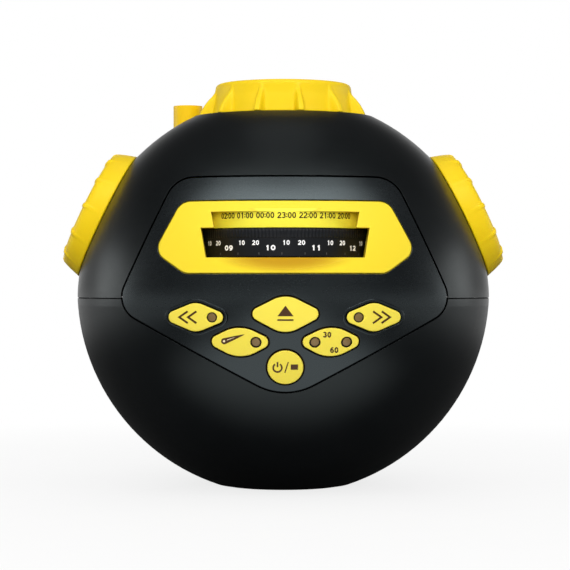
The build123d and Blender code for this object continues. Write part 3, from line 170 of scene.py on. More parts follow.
class Graph:
    """The node tree of a material or of the world."""

    def __init__(self, owner: Union[bpy.types.Material, bpy.types.World]) -> None:
        """Take over the owner's tree and empty it.

        Args:
            owner: Material or world whose nodes are made.
        """
        self.owner = owner
        owner.use_nodes = True
        self.tree = owner.node_tree
        self.tree.nodes.clear()
        self.shader: Optional[bpy.types.Node] = None
        self.end: Optional[bpy.types.Node] = None
        self._place: Optional[Wire] = None

    @staticmethod
    def material(name: str) -> "Graph":
        """Make a material with a Principled shader at its end.

        Args:
            name: Name of the material.

        Returns:
            The graph of the new material.
        """
        graph = Graph(bpy.data.materials.new(name))
        graph.shader = graph.node("ShaderNodeBsdfPrincipled")
        graph.end = graph.node("ShaderNodeOutputMaterial", {}, {0: graph.out(graph.shader)})
        return graph

    def node(
        self, kind: str, settings: Optional[dict] = None, inputs: Optional[dict] = None
    ) -> bpy.types.Node:
        """Add a node, set it up and then feed it.

        Args:
            kind: Node type.
            settings: Properties of the node.
            inputs: Wires or values by socket name or number.

        Returns:
            The new node.
        """
        node = self.tree.nodes.new(kind)
        for key, value in (settings or {}).items():
            setattr(node, key, value)
        for key, value in (inputs or {}).items():
            if isinstance(value, Wire):
                self.tree.links.new(value.socket, node.inputs[key])
            else:
                node.inputs[key].default_value = value
        return node

    def out(self, node: bpy.types.Node, key: Union[str, int] = 0) -> Wire:
        """Wire from one output of a node."""
        return Wire(self, node.outputs[key])

    @property
    def place(self) -> Wire:
        """Object coordinates in metres.

        Returns:
            The coordinates, from one node for the whole graph.
        """
        if self._place is None:
            self._place = self.out(self.node("ShaderNodeTexCoord"), "Object")
        return self._place

    def axis(self, index: int, place: Optional[Wire] = None) -> Wire:
        """One coordinate, the object's own unless others are given: 0, 1 or 2 for X, Y or Z."""
        return self.out(self.node("ShaderNodeSeparateXYZ", {}, {0: place or self.place}), index)

    def mapped(self, **values: Sequence[float]) -> Wire:
        """Object coordinates through a Mapping node.

        Args:
            values: The node's Location, Rotation and Scale.

        Returns:
            The mapped coordinates.
        """
        return self.out(self.node("ShaderNodeMapping", {}, {"Vector": self.place, **values}))

    def ray(self, kind: str) -> Wire:
        """1 for one kind of ray, as the Light Path node names it, and 0 for the others."""
        return self.out(self.node("ShaderNodeLightPath"), f"Is {kind} Ray")

    @property
    def seen(self) -> Wire:
        """1 for what is seen straight or through glass."""
        return self.ray("Camera").larger(self.ray("Transmission"))

    def noise(
        self, size: float, detail: float = 2.0, rough: float = 0.5, place: Optional[Wire] = None
    ) -> Wire:
        """Fractal noise between 0 and 1.

        Args:
            size: Width of its largest blots in metres.
            detail: Number of octaves.
            rough: Share of the finer octaves.
            place: Coordinates, or the object's own.

        Returns:
            The noise.
        """
        inputs = {"Scale": 1.0 / size, "Detail": detail, "Roughness": rough}
        return self.out(self.node("ShaderNodeTexNoise", {}, {"Vector": place or self.place, **inputs}))

    def cells(self, size: float, pattern: CellPattern = CellPattern.CENTRES) -> Wire:
        """Distance in a cell pattern.

        Args:
            size: Width of the cells in metres.
            pattern: What the distance is measured from.

        Returns:
            The distance, in cell widths.
        """
        inputs = {"Vector": self.place, "Scale": 1.0 / size}
        return self.out(self.node("ShaderNodeTexVoronoi", {"feature": pattern.value}, inputs), "Distance")

    def blend(self, factor: Value, first: Union[Wire, Colour], second: Union[Wire, Colour]) -> Wire:
        """Mix two colours.

        Args:
            factor: Share of the second colour.
            first: Colour at factor 0.
            second: Colour at factor 1.

        Returns:
            The mixed colour.
        """
        colours = [c if isinstance(c, Wire) else (*c, 1.0) for c in (first, second)]
        settings = {"data_type": "RGBA", "clamp_factor": True}
        node = self.node("ShaderNodeMix", settings, {0: factor, 6: colours[0], 7: colours[1]})
        return self.out(node, 2)

    def rounded(self, radius: float) -> Wire:
        """Surface normal with edges rounded by a radius in metres."""
        return self.out(self.node("ShaderNodeBevel", {"samples": 6}, {"Radius": radius}))

    def edge(self, normal: Wire) -> Wire:
        """Mask that is 1 on rounded edges.

        Args:
            normal: Normal with rounded edges.

        Returns:
            The mask, from the angle between that normal and the true one.
        """
        true = self.out(self.node("ShaderNodeNewGeometry"), "Normal")
        dot = self.node("ShaderNodeVectorMath", {"operation": "DOT_PRODUCT"}, {0: normal, 1: true})
        return (1.0 - self.out(dot, "Value")).step(0.02, 0.25)

    def bump(self, height: Wire, depth: float, normal: Optional[Wire] = None) -> Wire:
        """Normal disturbed by a height.

        Args:
            height: Relief between 0 and 1.
            depth: Its depth in metres.
            normal: Normal to start from.

        Returns:
            The new normal.
        """
        inputs = {"Height": height, "Distance": depth, "Strength": 1.0}
        if normal is not None:
            inputs["Normal"] = normal
        return self.out(self.node("ShaderNodeBump", {}, inputs))

    def end_with(self, shader: Wire) -> None:
        """Send a shader to the output node in place of the Principled one."""
        self.tree.links.new(shader.socket, self.end.inputs[0])

    def finish(self, **sockets: Union[Wire, float, Sequence[float]]) -> bpy.types.Material:
        """Feed the shader's sockets, named with underscores for blanks.

        Args:
            sockets: Wires or constants.

        Returns:
            The finished material.
        """
        for key, value in sockets.items():
            socket = self.shader.inputs[key.replace("_", " ")]
            if isinstance(value, Wire):
                self.tree.links.new(value.socket, socket)
            elif isinstance(value, tuple) and len(value) == 3 and socket.type == "RGBA":
                socket.default_value = (*value, 1.0)
            else:
                socket.default_value = value
        return self.owner


# ------------------------------------------------------------------------------------------
# finishes
# ------------------------------------------------------------------------------------------
@dataclass(frozen=True)
class Moulded:
    """Moulded plastic: spark-eroded grain, slow mottling, softened edges with a painted highlight and faint
    rub marks.
    """

    name: str
    colour: Colour
    roughness: float = 0.4
    specular: float = 0.5
    grain: float = 0.45 * MM
    grain_depth: float = 0.006 * MM
    clouds: float = 26.0 * MM
    rubs: float = 5.0 * MM
    mottle: float = 0.12
    edge: float = 0.3 * MM
    # colour painted on rounded edges as a highlight, and its share
    edge_colour: Optional[Colour] = None
    edge_share: float = 0.35
    translucence: float = 0.0
    coat: float = 0.0
    sheen_colour: Colour = (1.0, 1.0, 1.0)

    def recess(self, graph: Graph) -> Optional[Tuple[Wire, Union[Wire, Colour]]]:
        """Mask and colour of places with painted shade or light, if there are any."""
        return None

    def material(self) -> bpy.types.Material:
        """Build the material.

        Returns:
            A material whose colour and roughness vary slowly, with a painted highlight on rounded edges, and
            whose normal carries the grain.
        """
        graph = Graph.material(self.name)
        clouds = graph.noise(self.clouds, 3.0)
        fine = graph.noise(self.grain, 2.0, 0.6)
        rubs = graph.noise(self.rubs, 4.0, 0.65, graph.mapped(Scale=(1.0, 1.0, 2.6)))
        darker = tuple(c * (1.0 - self.mottle) for c in self.colour)
        lighter = tuple(min(c * (1.0 + self.mottle) + 0.002, 1.0) for c in self.colour)
        colour = graph.blend(clouds, darker, lighter)
        soft = graph.rounded(self.edge)
        edge = graph.edge(soft)
        # painted highlight: rounded edges are blended towards a lighter colour
        if self.edge_colour is not None:
            colour = graph.blend(edge * self.edge_share, colour, self.edge_colour)
        # painted shade or light on the places that a subclass masks
        recess = self.recess(graph)
        if recess is not None:
            colour = graph.blend(recess[0], colour, recess[1])
        rough = self.roughness + (clouds - 0.5) * 0.10 + (rubs - 0.5) * 0.08 + (fine - 0.5) * 0.06
        return graph.finish(
            Base_Color=colour,
            Roughness=rough - edge * 0.08,
            Normal=graph.bump(fine, self.grain_depth, soft),
            Specular_IOR_Level=self.specular,
            Subsurface_Weight=self.translucence,
            Subsurface_Radius=(1.0, 0.6, 0.1),
            Subsurface_Scale=2.0 * MM,
            Coat_Weight=self.coat,
            Specular_Tint=self.sheen_colour,
        )


@dataclass(frozen=True)
class KeyCap(Moulded):
    """Key plastic with painted shade down its sides, where it leaves the ball's skin."""

    # dark brown painted shade for the gap round the key
    side_colour: Colour = (0.05, 0.022, 0.002)
    side_top: float = 0.05 * MM
    side_foot: float = 0.32 * MM

    def recess(self, graph: Graph) -> Optional[Tuple[Wire, Union[Wire, Colour]]]:
        """Tell the sides from the face by the distance from the lower sphere's centre.

        Args:
            graph: Graph of the material.

        Returns:
            Mask and painted shade colour of the sides.
        """
        x, y, z = graph.axis(0), graph.axis(1), graph.axis(2) - BASE_CENTRE
        distance = (x * x + y * y + z * z) ** 0.5
        face = BALL_RADIUS + KEY_PROUD
        # painted shade: darker down the sides
        return distance.step(face - self.side_top, face - self.side_foot), self.side_colour


@dataclass(frozen=True)
class BezelFace(Moulded):
    """Bezel plastic with painted shade, a deeper orange, in the finger scoop under the drum, and painted
    light, a paler yellow, on the scale behind the window.
    """

    # painted shade in the finger scoop under the drum
    scoop_colour: Colour = (0.56, 0.30, 0.002)
    scoop_half_width: float = 26.0 * MM
    scoop_depth: float = 6.4 * MM
    window_foot: float = 92.2 * MM
    window_top: float = 110.0 * MM
    # painted light: paler yellow on the hour scale inside the window
    scale_colour: Colour = (1.0, 0.88, 0.06)
    scale_radius: float = 31.6 * MM

    def recess(self, graph: Graph) -> Optional[Tuple[Wire, Union[Wire, Colour]]]:
        """Mask the scoop by an ellipse under the window and the scale by its distance from the drum's axis.

        Args:
            graph: Graph of the material.

        Returns:
            Mask of both, and their painted colours: shade in the scoop and light on the scale.
        """
        across = graph.axis(0) * (1.0 / self.scoop_half_width)
        rise = (graph.axis(2) - self.window_foot) * (1.0 / self.scoop_depth)
        square = across * across + rise * rise
        below = graph.axis(2).step(self.window_foot + 0.8 * MM, self.window_foot)
        scoop = square.step(1.1, 0.10) * below * 0.97
        x, y = graph.axis(0), graph.axis(1) - DRUM_AXIS
        near = ((x * x + y * y) ** 0.5).step(self.scale_radius + 0.8 * MM, self.scale_radius)
        scale = near * graph.axis(2).step(self.window_top + 0.4 * MM, self.window_top)
        # painted shade in the scoop, painted light on the scale
        return scoop.larger(scale), graph.blend(scale, self.scoop_colour, self.scale_colour)


@dataclass(frozen=True)
class Ink:
    """Pad-printed ink with slightly uneven cover."""

    name: str
    colour: Colour
    thin: Colour
    roughness: float = 0.45

    def material(self) -> bpy.types.Material:
        """Build the material.

        Returns:
            A material with thin spots and a faint relief.
        """
        graph = Graph.material(self.name)
        cover = graph.noise(0.5 * MM, 3.0, 0.6)
        return graph.finish(
            Base_Color=graph.blend(cover.step(0.62, 0.8), self.colour, self.thin),
            Roughness=self.roughness + cover * 0.1,
            Normal=graph.bump(cover, 0.004 * MM),
        )


@dataclass(frozen=True)
class Metal:
    """Drawn or plated metal with fine marks along one axis."""

    name: str
    colour: Colour
    roughness: float = 0.32
    stretch: Tuple[float, float, float] = (1.0, 1.0, 12.0)

    def material(self) -> bpy.types.Material:
        """Build the material.

        Returns:
            A material with stretched marks in its roughness and normal.
        """
        graph = Graph.material(self.name)
        marks = graph.noise(0.8 * MM, 4.0, 0.6, graph.mapped(Scale=self.stretch))
        stain = graph.noise(9.0 * MM, 3.0)
        dull = tuple(c * 0.72 for c in self.colour)
        return graph.finish(
            Base_Color=graph.blend(stain.step(0.4, 0.8), self.colour, dull),
            Metallic=1.0,
            Roughness=self.roughness + (marks - 0.5) * 0.18,
            Normal=graph.bump(marks, 0.008 * MM, graph.rounded(0.15 * MM)),
        )


@dataclass(frozen=True)
class Glass:
    """Clear moulded or ground optics with a faint film on the surface."""

    name: str
    colour: Colour
    ior: float = 1.5
    roughness: float = 0.02
    film: Colour = (0.80, 0.84, 0.92)

    def material(self) -> bpy.types.Material:
        """Build the material.

        Returns:
            A clear material whose roughness and tint change slowly.
        """
        graph = Graph.material(self.name)
        film = graph.noise(6.0 * MM, 2.0)
        return graph.finish(
            Base_Color=graph.blend(film * 0.5, self.colour, self.film),
            Roughness=self.roughness + film * 0.03,
            Transmission_Weight=1.0,
            IOR=self.ior,
        )


@dataclass(frozen=True)
class CircuitBoard:
    """Solder mask over a pattern of traces and plated pads."""

    name: str = "board_mask"
    mask: Colour = (0.010, 0.085, 0.030)
    trace: Colour = (0.020, 0.160, 0.060)
    pad: Colour = (0.62, 0.60, 0.54)

    def material(self) -> bpy.types.Material:
        """Build the material.

        Returns:
            A material in which the borders of large cells are traces and the middles of small ones pads.
        """
        graph = Graph.material(self.name)
        traces = graph.cells(3.0 * MM, CellPattern.BORDERS).step(0.10, 0.06)
        pads = graph.cells(2.2 * MM).step(0.16, 0.12)
        colour = graph.blend(pads, graph.blend(traces, self.mask, self.trace), self.pad)
        return graph.finish(
            Base_Color=colour,
            Roughness=0.38 - pads * 0.12 + graph.noise(2.0 * MM) * 0.08,
            Metallic=pads * 0.9,
            Normal=graph.bump(traces, 0.03 * MM),
        )


@dataclass(frozen=True)
class StarFilm:
    """Dark film of the star disc: clear dots of several sizes and a faint band of haze."""

    name: str = "star_film"
    dark: Colour = (0.004, 0.004, 0.010)
    dot: Colour = (0.86, 0.88, 0.95)

    def material(self) -> bpy.types.Material:
        """Build the material.

        Returns:
            A material with two sizes of cell middles as stars and a slanted band of noise as haze.
        """
        graph = Graph.material(self.name)
        stars = graph.cells(2.8 * MM).step(0.10, 0.06)
        small = graph.cells(1.3 * MM).step(0.09, 0.05) * graph.noise(7.0 * MM).step(0.40, 0.62)
        slant = graph.axis(0) * 0.8 + graph.axis(1) * 0.6
        band = 1.0 - slant.size().step(2.0 * MM, 10.0 * MM)
        haze = band * graph.noise(3.0 * MM, 4.0).step(0.45, 0.8) * 0.25
        shine = stars.larger(small)
        colour = graph.blend(shine, graph.blend(haze, self.dark, self.dot), self.dot)
        return graph.finish(Base_Color=colour, Roughness=0.12 + shine * 0.3, Coat_Weight=0.3)


@dataclass(frozen=True)
class CellJacket:
    """Plain sleeve of a round cell: dark with a lighter band at its positive end."""

    name: str = "cell_jacket"
    dark: Colour = (0.03, 0.03, 0.035)
    band: Colour = (0.55, 0.36, 0.10)
    metal: Colour = (0.66, 0.66, 0.66)
    band_start: float = -14.0 * MM
    sleeve_end: float = 25.0 * MM

    def material(self) -> bpy.types.Material:
        """Build the material.

        Returns:
            A material whose band covers one end along X and whose metal ends show beyond the sleeve.
        """
        graph = Graph.material(self.name)
        across = graph.axis(0)
        band = across.step(self.band_start + 0.3 * MM, self.band_start - 0.3 * MM)
        metal = across.size().step(self.sleeve_end - 0.1 * MM, self.sleeve_end + 0.1 * MM)
        colour = graph.blend(metal, graph.blend(band, self.dark, self.band), self.metal)
        return graph.finish(
            Base_Color=colour,
            Metallic=metal,
            Roughness=0.28 + graph.noise(3.0 * MM) * 0.15,
            Normal=graph.bump(graph.noise(1.2 * MM), 0.01 * MM),
        )


@dataclass(frozen=True)
class Rubber:
    """Matt rubber with a fine pitted skin and a dusty bloom."""

    name: str = "foot_rubber"
    colour: Colour = (0.010, 0.010, 0.010)
    bloom: Colour = (0.05, 0.05, 0.048)

    def material(self) -> bpy.types.Material:
        """Build the material.

        Returns:
            A material with fine pits and slow patches of bloom.
        """
        graph = Graph.material(self.name)
        pits = graph.noise(0.4 * MM, 3.0, 0.7)
        bloom = graph.noise(8.0 * MM, 4.0).step(0.45, 0.75)
        return graph.finish(
            Base_Color=graph.blend(bloom * 0.35, self.colour, self.bloom),
            Roughness=0.78 + pits * 0.12,
            Normal=graph.bump(pits, 0.03 * MM),
        )


# the lighter edge colours below are painted highlights on rounded edges
BODY_BLACK = Moulded(
    "shell_satin_black", (0.0026, 0.0032, 0.0038), 0.32, 0.42, edge=0.16 * MM,
    edge_colour=(0.012, 0.013, 0.014), mottle=0.10, sheen_colour=(0.86, 1.0, 1.0),
)
PANEL_BLACK = Moulded(
    "panel_satin_black", (0.0034, 0.0042, 0.0050), 0.27, 0.80, edge=0.30 * MM,
    edge_colour=(0.040, 0.043, 0.046), mottle=0.10, sheen_colour=(0.80, 0.96, 1.0),
)
BEZEL_YELLOW = BezelFace(
    "bezel_soft_yellow", (0.93, 0.71, 0.024), 0.42, 0.35, grain_depth=0.003 * MM, mottle=0.03,
    edge=0.35 * MM, edge_colour=(0.98, 0.80, 0.20), translucence=0.08,
)
KEY_YELLOW = KeyCap(
    "key_soft_yellow", (0.95, 0.78, 0.085), 0.40, 0.35, grain_depth=0.003 * MM, mottle=0.03,
    edge=0.35 * MM, edge_colour=(0.98, 0.82, 0.22), translucence=0.08,
)
DIAL_YELLOW = Moulded(
    "dial_soft_yellow", (0.92, 0.64, 0.004), 0.40, 0.32, grain_depth=0.004 * MM, mottle=0.05,
    edge=0.5 * MM, edge_colour=(0.96, 0.72, 0.12), translucence=0.12,
)
TUBE_AMBER = Moulded(
    "tube_amber_yellow", (0.95, 0.60, 0.004), 0.38, 0.35, grain_depth=0.003 * MM, mottle=0.05,
    edge=0.3 * MM, edge_colour=(0.98, 0.62, 0.05), translucence=0.12,
)
DRUM_BLACK = Moulded(
    "drum_black", (0.0045, 0.0055, 0.0075), 0.42, 0.35, grain_depth=0.008 * MM, edge=0.15 * MM,
)
INNER_BLACK = Moulded(
    "inner_black", (0.018, 0.018, 0.019), 0.55, 0.4, grain_depth=0.012 * MM, edge=0.2 * MM,
)
DECK_GREY = Moulded(
    "deck_charcoal", (0.035, 0.036, 0.038), 0.5, 0.4, grain_depth=0.012 * MM, edge=0.25 * MM,
)
ACETAL = Moulded(
    "gear_acetal", (0.72, 0.71, 0.66), 0.35, 0.5, mottle=0.04, edge=0.1 * MM, translucence=0.1,
)
# painted shade: dark ring round each lamp lens for the shade in the gap round it
LAMP_SHADE_RING = Moulded("lamp_shade_ring", (0.022, 0.012, 0.004), 0.45, 0.4, edge=0.1 * MM)
LAMP_AMBER = Moulded(
    "lamp_smoked_amber", (0.20, 0.125, 0.045), 0.32, 0.45, mottle=0.15, edge=0.1 * MM, coat=0.3,
)
BROWN_INK = Ink("icon_brown_ink", (0.060, 0.022, 0.003), (0.14, 0.06, 0.01))
SCALE_INK = Ink("scale_brown_ink", (0.030, 0.010, 0.001), (0.08, 0.035, 0.005))
WHITE_INK = Ink("scale_white_ink", (0.96, 0.96, 0.96), (0.8, 0.8, 0.8))
FAINT_INK = Ink("scale_faint_ink", (0.10, 0.10, 0.10), (0.05, 0.05, 0.05))
PALE_INK = Ink("icon_pale_ink", (0.95, 0.80, 0.50), (0.9, 0.7, 0.3))
# painted shade: black sheet in the shape of the screws' cross recesses
RECESS_SHADE_BLACK = Ink("painted_recess_shade", (0.004, 0.004, 0.004), (0.01, 0.01, 0.01))
ZINC = Metal("zinc_screws", (0.62, 0.62, 0.60), 0.30)
DRAWN_STEEL = Metal("drawn_steel", (0.55, 0.55, 0.56), 0.34)
LENS_GLASS = Glass("coated_lens", (0.96, 0.97, 1.0), 1.5, 0.015)
LAMP_CLEAR = Glass("clear_lamp", (0.97, 0.95, 0.86), 1.45, 0.06)


# ------------------------------------------------------------------------------------------
# meshes
# ------------------------------------------------------------------------------------------
@dataclass
class Surface:
    """Points and faces that become one mesh."""

    points: Array
    faces: List[Sequence[int]] = field(default_factory=list)

    @staticmethod
    def grid(points: Array, wrap_rows: bool = False, wrap_columns: bool = False) -> "Surface":
        """Join a grid of points by quads.

        Args:
            points: Array of rows, columns and three coordinates.
            wrap_rows: Whether the last row joins the first.
            wrap_columns: Whether the last column joins the first.

        Returns:
            The surface. Rows run along i and columns along j, and a face turns i before j.
        """
        rows, columns = points.shape[:2]
        i = np.arange(rows if wrap_rows else rows - 1)
        j = np.arange(columns if wrap_columns else columns - 1)
        i, j = np.meshgrid(i, j, indexing="ij")
        below, right = (i + 1) % rows, (j + 1) % columns
        corners = [i * columns + j, below * columns + j, below * columns + right, i * columns + right]
        quads = np.stack(corners, -1).reshape(-1, 4)
        return Surface(points.reshape(-1, points.shape[-1]), quads.tolist())

    @staticmethod
    def together(parts: Sequence["Surface"]) -> "Surface":
        """All surfaces of a list as one."""
        return parts[0].joined(*parts[1:])

    def joined(self, *others: "Surface") -> "Surface":
        """Put surfaces together.

        Args:
            others: Surfaces to add to this one.

        Returns:
            All of them as one.
        """
        points = [self.points]
        faces = list(self.faces)
        count = len(self.points)
        for other in others:
            faces += [[index + count for index in face] for face in other.faces]
            points.append(other.points)
            count += len(other.points)
        return Surface(np.concatenate(points), faces)

    def flipped(self) -> "Surface":
        """This surface with its faces turned over."""
        return Surface(self.points, [list(face)[::-1] for face in self.faces])


class Piece:
    """One new object of the scene."""

    def __init__(self, name: str, surface: Surface, finish: bpy.types.Material, body: str) -> None:
        """Make the mesh object and let it ride.

        Args:
            name: Name of the object.
            surface: Its points and faces.
            finish: Its material.
            body: Body that it moves with.
        """
        mesh = bpy.data.meshes.new(name)
        mesh.from_pydata(surface.points.tolist(), [], surface.faces)
        mesh.validate()
        mesh.materials.append(finish)
        self.object = bpy.data.objects.new(name, mesh)
        bpy.context.scene.collection.objects.link(self.object)
        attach(self.object, body)
        log.info("piece %s: %d points on %s", name, len(surface.points), body)

    def smooth(self) -> "Piece":
        """Shade the faces smooth.

        Returns:
            The piece.
        """
        mesh = self.object.data
        mesh.polygons.foreach_set("use_smooth", np.ones(len(mesh.polygons), bool))
        return self

    def thick(self, depth: float) -> "Piece":
        """Give the surface a wall behind it.

        Args:
            depth: Thickness in metres.

        Returns:
            The piece.
        """
        wall = self.object.modifiers.new("wall", "SOLIDIFY")
        wall.thickness = depth
        wall.offset = -1.0
        return self

    def in_slot(self, slot: str) -> "Piece":
        """Return the piece unchanged."""
        return self

    def replaces(self, *nodes: str) -> "Piece":
        """Hide the model's own nodes that this piece stands for."""
        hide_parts(*nodes)
        return self


# ------------------------------------------------------------------------------------------
# flat artwork and the surfaces that carry it
# ------------------------------------------------------------------------------------------
class Art:
    """Flat shapes in metres: u to the right and v up."""

    @staticmethod
    def ribbon(path: Array, half_width: Union[float, Array]) -> Surface:
        """Band along a path: each point moves both ways along the mitred normal by the half width.

        Args:
            path: Points of the centre line.
            half_width: Half width, one number or one for each point.

        Returns:
            The flat band.
        """
        path = np.asarray(path, float)
        run = np.diff(path, axis=0)
        run /= np.linalg.norm(run, axis=1)[:, None]
        before = np.concatenate([run[:1], run])
        after = np.concatenate([run, run[-1:]])
        middle = before + after
        middle /= np.linalg.norm(middle, axis=1)[:, None]
        normal = np.stack([-middle[:, 1], middle[:, 0]], -1)
        side = np.stack([-before[:, 1], before[:, 0]], -1)
        reach = np.broadcast_to(half_width, len(path)) / np.sum(normal * side, axis=1)
        offset = normal * reach[:, None]
        return Surface.grid(np.stack([path + offset, path - offset], 1))

    @staticmethod
    def disc(centre: Tuple[float, float], radius: float, steps: int = 24) -> Surface:
        """Disc: a band along its diameter whose half width is half the chord there.

        Args:
            centre: Its middle.
            radius: Its radius.
            steps: Number of points on the diameter.

        Returns:
            The flat disc.
        """
        angle = np.linspace(math.pi, 0.0, steps)
        path = np.stack([centre[0] + radius * np.cos(angle), np.full(steps, centre[1])], -1)
        return Art.ribbon(path, np.maximum(radius * np.sin(angle), 1e-7))

    @staticmethod
    def arc(
        centre: Tuple[float, float], radius: float, start: float, end: float, half_width: float
    ) -> Surface:
        """Band along a round arc.

        Args:
            centre: Its middle.
            radius: Radius of its centre line.
            start: Angle of its first end in degrees, anticlockwise from +u.
            end: Angle of its last end.
            half_width: Half the band's width.

        Returns:
            The flat band.
        """
        return Art.ribbon(Art.oval(centre, (radius, radius), start, end, 32), half_width)

    @staticmethod
    def line(start: Sequence[float], end: Sequence[float], half_width: float) -> Surface:
        """Straight band between two points."""
        return Art.ribbon(np.linspace(start, end, 5), half_width)

    @staticmethod
    def oval(
        centre: Tuple[float, float],
        reach: Tuple[float, float],
        start: float = 0.0,
        end: float = 360.0,
        steps: int = 26,
    ) -> Array:
        """Points of an elliptic arc between two angles in degrees.

        Args:
            centre: Its middle.
            reach: Half width and half height.
            start: Angle of the first point, anticlockwise from +u.
            end: Angle of the last point.
            steps: Number of points.

        Returns:
            The points.
        """
        angle = np.radians(np.linspace(start, end, steps))
        return np.stack([centre[0] + reach[0] * np.cos(angle), centre[1] + reach[1] * np.sin(angle)], -1)


@dataclass(frozen=True)
class Digits:
    """Sans digits drawn by strokes of even width on a box of width by height."""

    height: float
    width: float
    stroke: float
    gap: float

    def strokes(self, sign: str) -> List[Array]:
        """Centre lines of one sign about its middle.

        Args:
            sign: A digit or a colon.

        Returns:
            Its strokes.
        """
        a = (self.width - self.stroke) / 2
        h = (self.height - self.stroke) / 2
        half = self.stroke / 2
        oval = Art.oval
        loop = oval((0.0, -0.40 * h), (a, 0.60 * h))
        hook = oval((0.25 * a, -0.30 * h), (1.25 * a, 1.30 * h), 172.0, 62.0)
        table = {
            "0": [oval((0.0, 0.0), (a, h))],
            "1": [
                np.array([[0.2 * a, h + half], [0.2 * a, -h - half]]),
                np.array([[-0.65 * a, 0.55 * h], [0.2 * a, h * 0.93]]),
            ],
            "2": [
                np.append(oval((0.0, 0.42 * h), (a, 0.58 * h), 165.0, -30.0), [[-0.85 * a, -0.86 * h]], 0),
                np.array([[-a - half, -h], [a + half, -h]]),
            ],
            "3": [
                oval((-0.1 * a, 0.5 * h), (0.95 * a, 0.5 * h), 150.0, -90.0),
                oval((-0.1 * a, -0.47 * h), (1.1 * a, 0.53 * h), 90.0, -150.0),
            ],
            "4": [
                np.array([[0.45 * a, -h - half], [0.45 * a, h + half]]),
                np.array([[0.45 * a, h], [-0.9 * a, -0.35 * h]]),
                np.array([[-a - half, -0.42 * h], [a + half, -0.42 * h]]),
            ],
            "5": [
                np.array([[a + half, h], [-0.75 * a, h]]),
                np.array([[-0.72 * a, h], [-0.85 * a, -0.02 * h]]),
                oval((-0.05 * a, -0.36 * h), (1.05 * a, 0.64 * h), 140.0, -150.0),
            ],
            "6": [loop, hook],
            "7": [
                np.array([[-a - half, h], [a + half, h]]),
                np.array([[0.9 * a, h], [-0.35 * a, -h - half]]),
            ],
            "8": [oval((0.0, 0.5 * h), (0.86 * a, 0.5 * h)), oval((0.0, -0.46 * h), (a, 0.54 * h))],
            "9": [-loop, -hook],
            ":": [
                np.array([[-half, 0.42 * h], [half, 0.42 * h]]),
                np.array([[-half, -0.62 * h], [half, -0.62 * h]]),
            ],
        }
        return table[sign]

    def write(self, text: str, centre: Tuple[float, float]) -> Surface:
        """Draw a text about its middle.

        Args:
            text: Digits, which may hold a colon.
            centre: Middle of the text.

        Returns:
            The flat text.
        """
        widths = np.array([self.stroke if sign == ":" else self.width for sign in text])
        ends = np.cumsum(widths + self.gap)
        middles = ends - widths / 2 - self.gap - (ends[-1] - self.gap) / 2
        bands = []
        for sign, middle in zip(text, middles):
            for path in self.strokes(sign):
                bands.append(Art.ribbon(path + [centre[0] + middle, centre[1]], self.stroke / 2))
        return Surface.together(bands)


@dataclass(frozen=True)
class BallFront:
    """The front of a sphere on the optical axis, seen from the user's side."""

    centre: float
    radius: float

    def carry(self, art: Surface) -> Surface:
        """Lay artwork on the sphere: u is X, v is Z, and Y follows from the radius.

        Args:
            art: Flat artwork.

        Returns:
            The artwork on the sphere, facing the user.
        """
        u, v = art.points[:, 0], art.points[:, 1]
        y = -np.sqrt(self.radius**2 - u**2 - (v - self.centre) ** 2)
        return Surface(np.stack([u, y, v], -1), art.faces)


@dataclass(frozen=True)
class DrumFront:
    """The outside of a drum: u runs round it from the front towards +X and v is the height."""

    radius: float

    def carry(self, art: Surface) -> Surface:
        """Wrap artwork round the drum: the angle is u over the radius.

        Args:
            art: Flat artwork.

        Returns:
            The artwork on the drum, facing outwards.
        """
        angle = art.points[:, 0] / self.radius
        x = self.radius * np.sin(angle)
        y = DRUM_AXIS - self.radius * np.cos(angle)
        return Surface(np.stack([x, y, art.points[:, 1]], -1), art.faces)

    def at(self, degrees: float) -> float:
        """Distance round the drum of an angle in degrees."""
        return math.radians(degrees) * self.radius


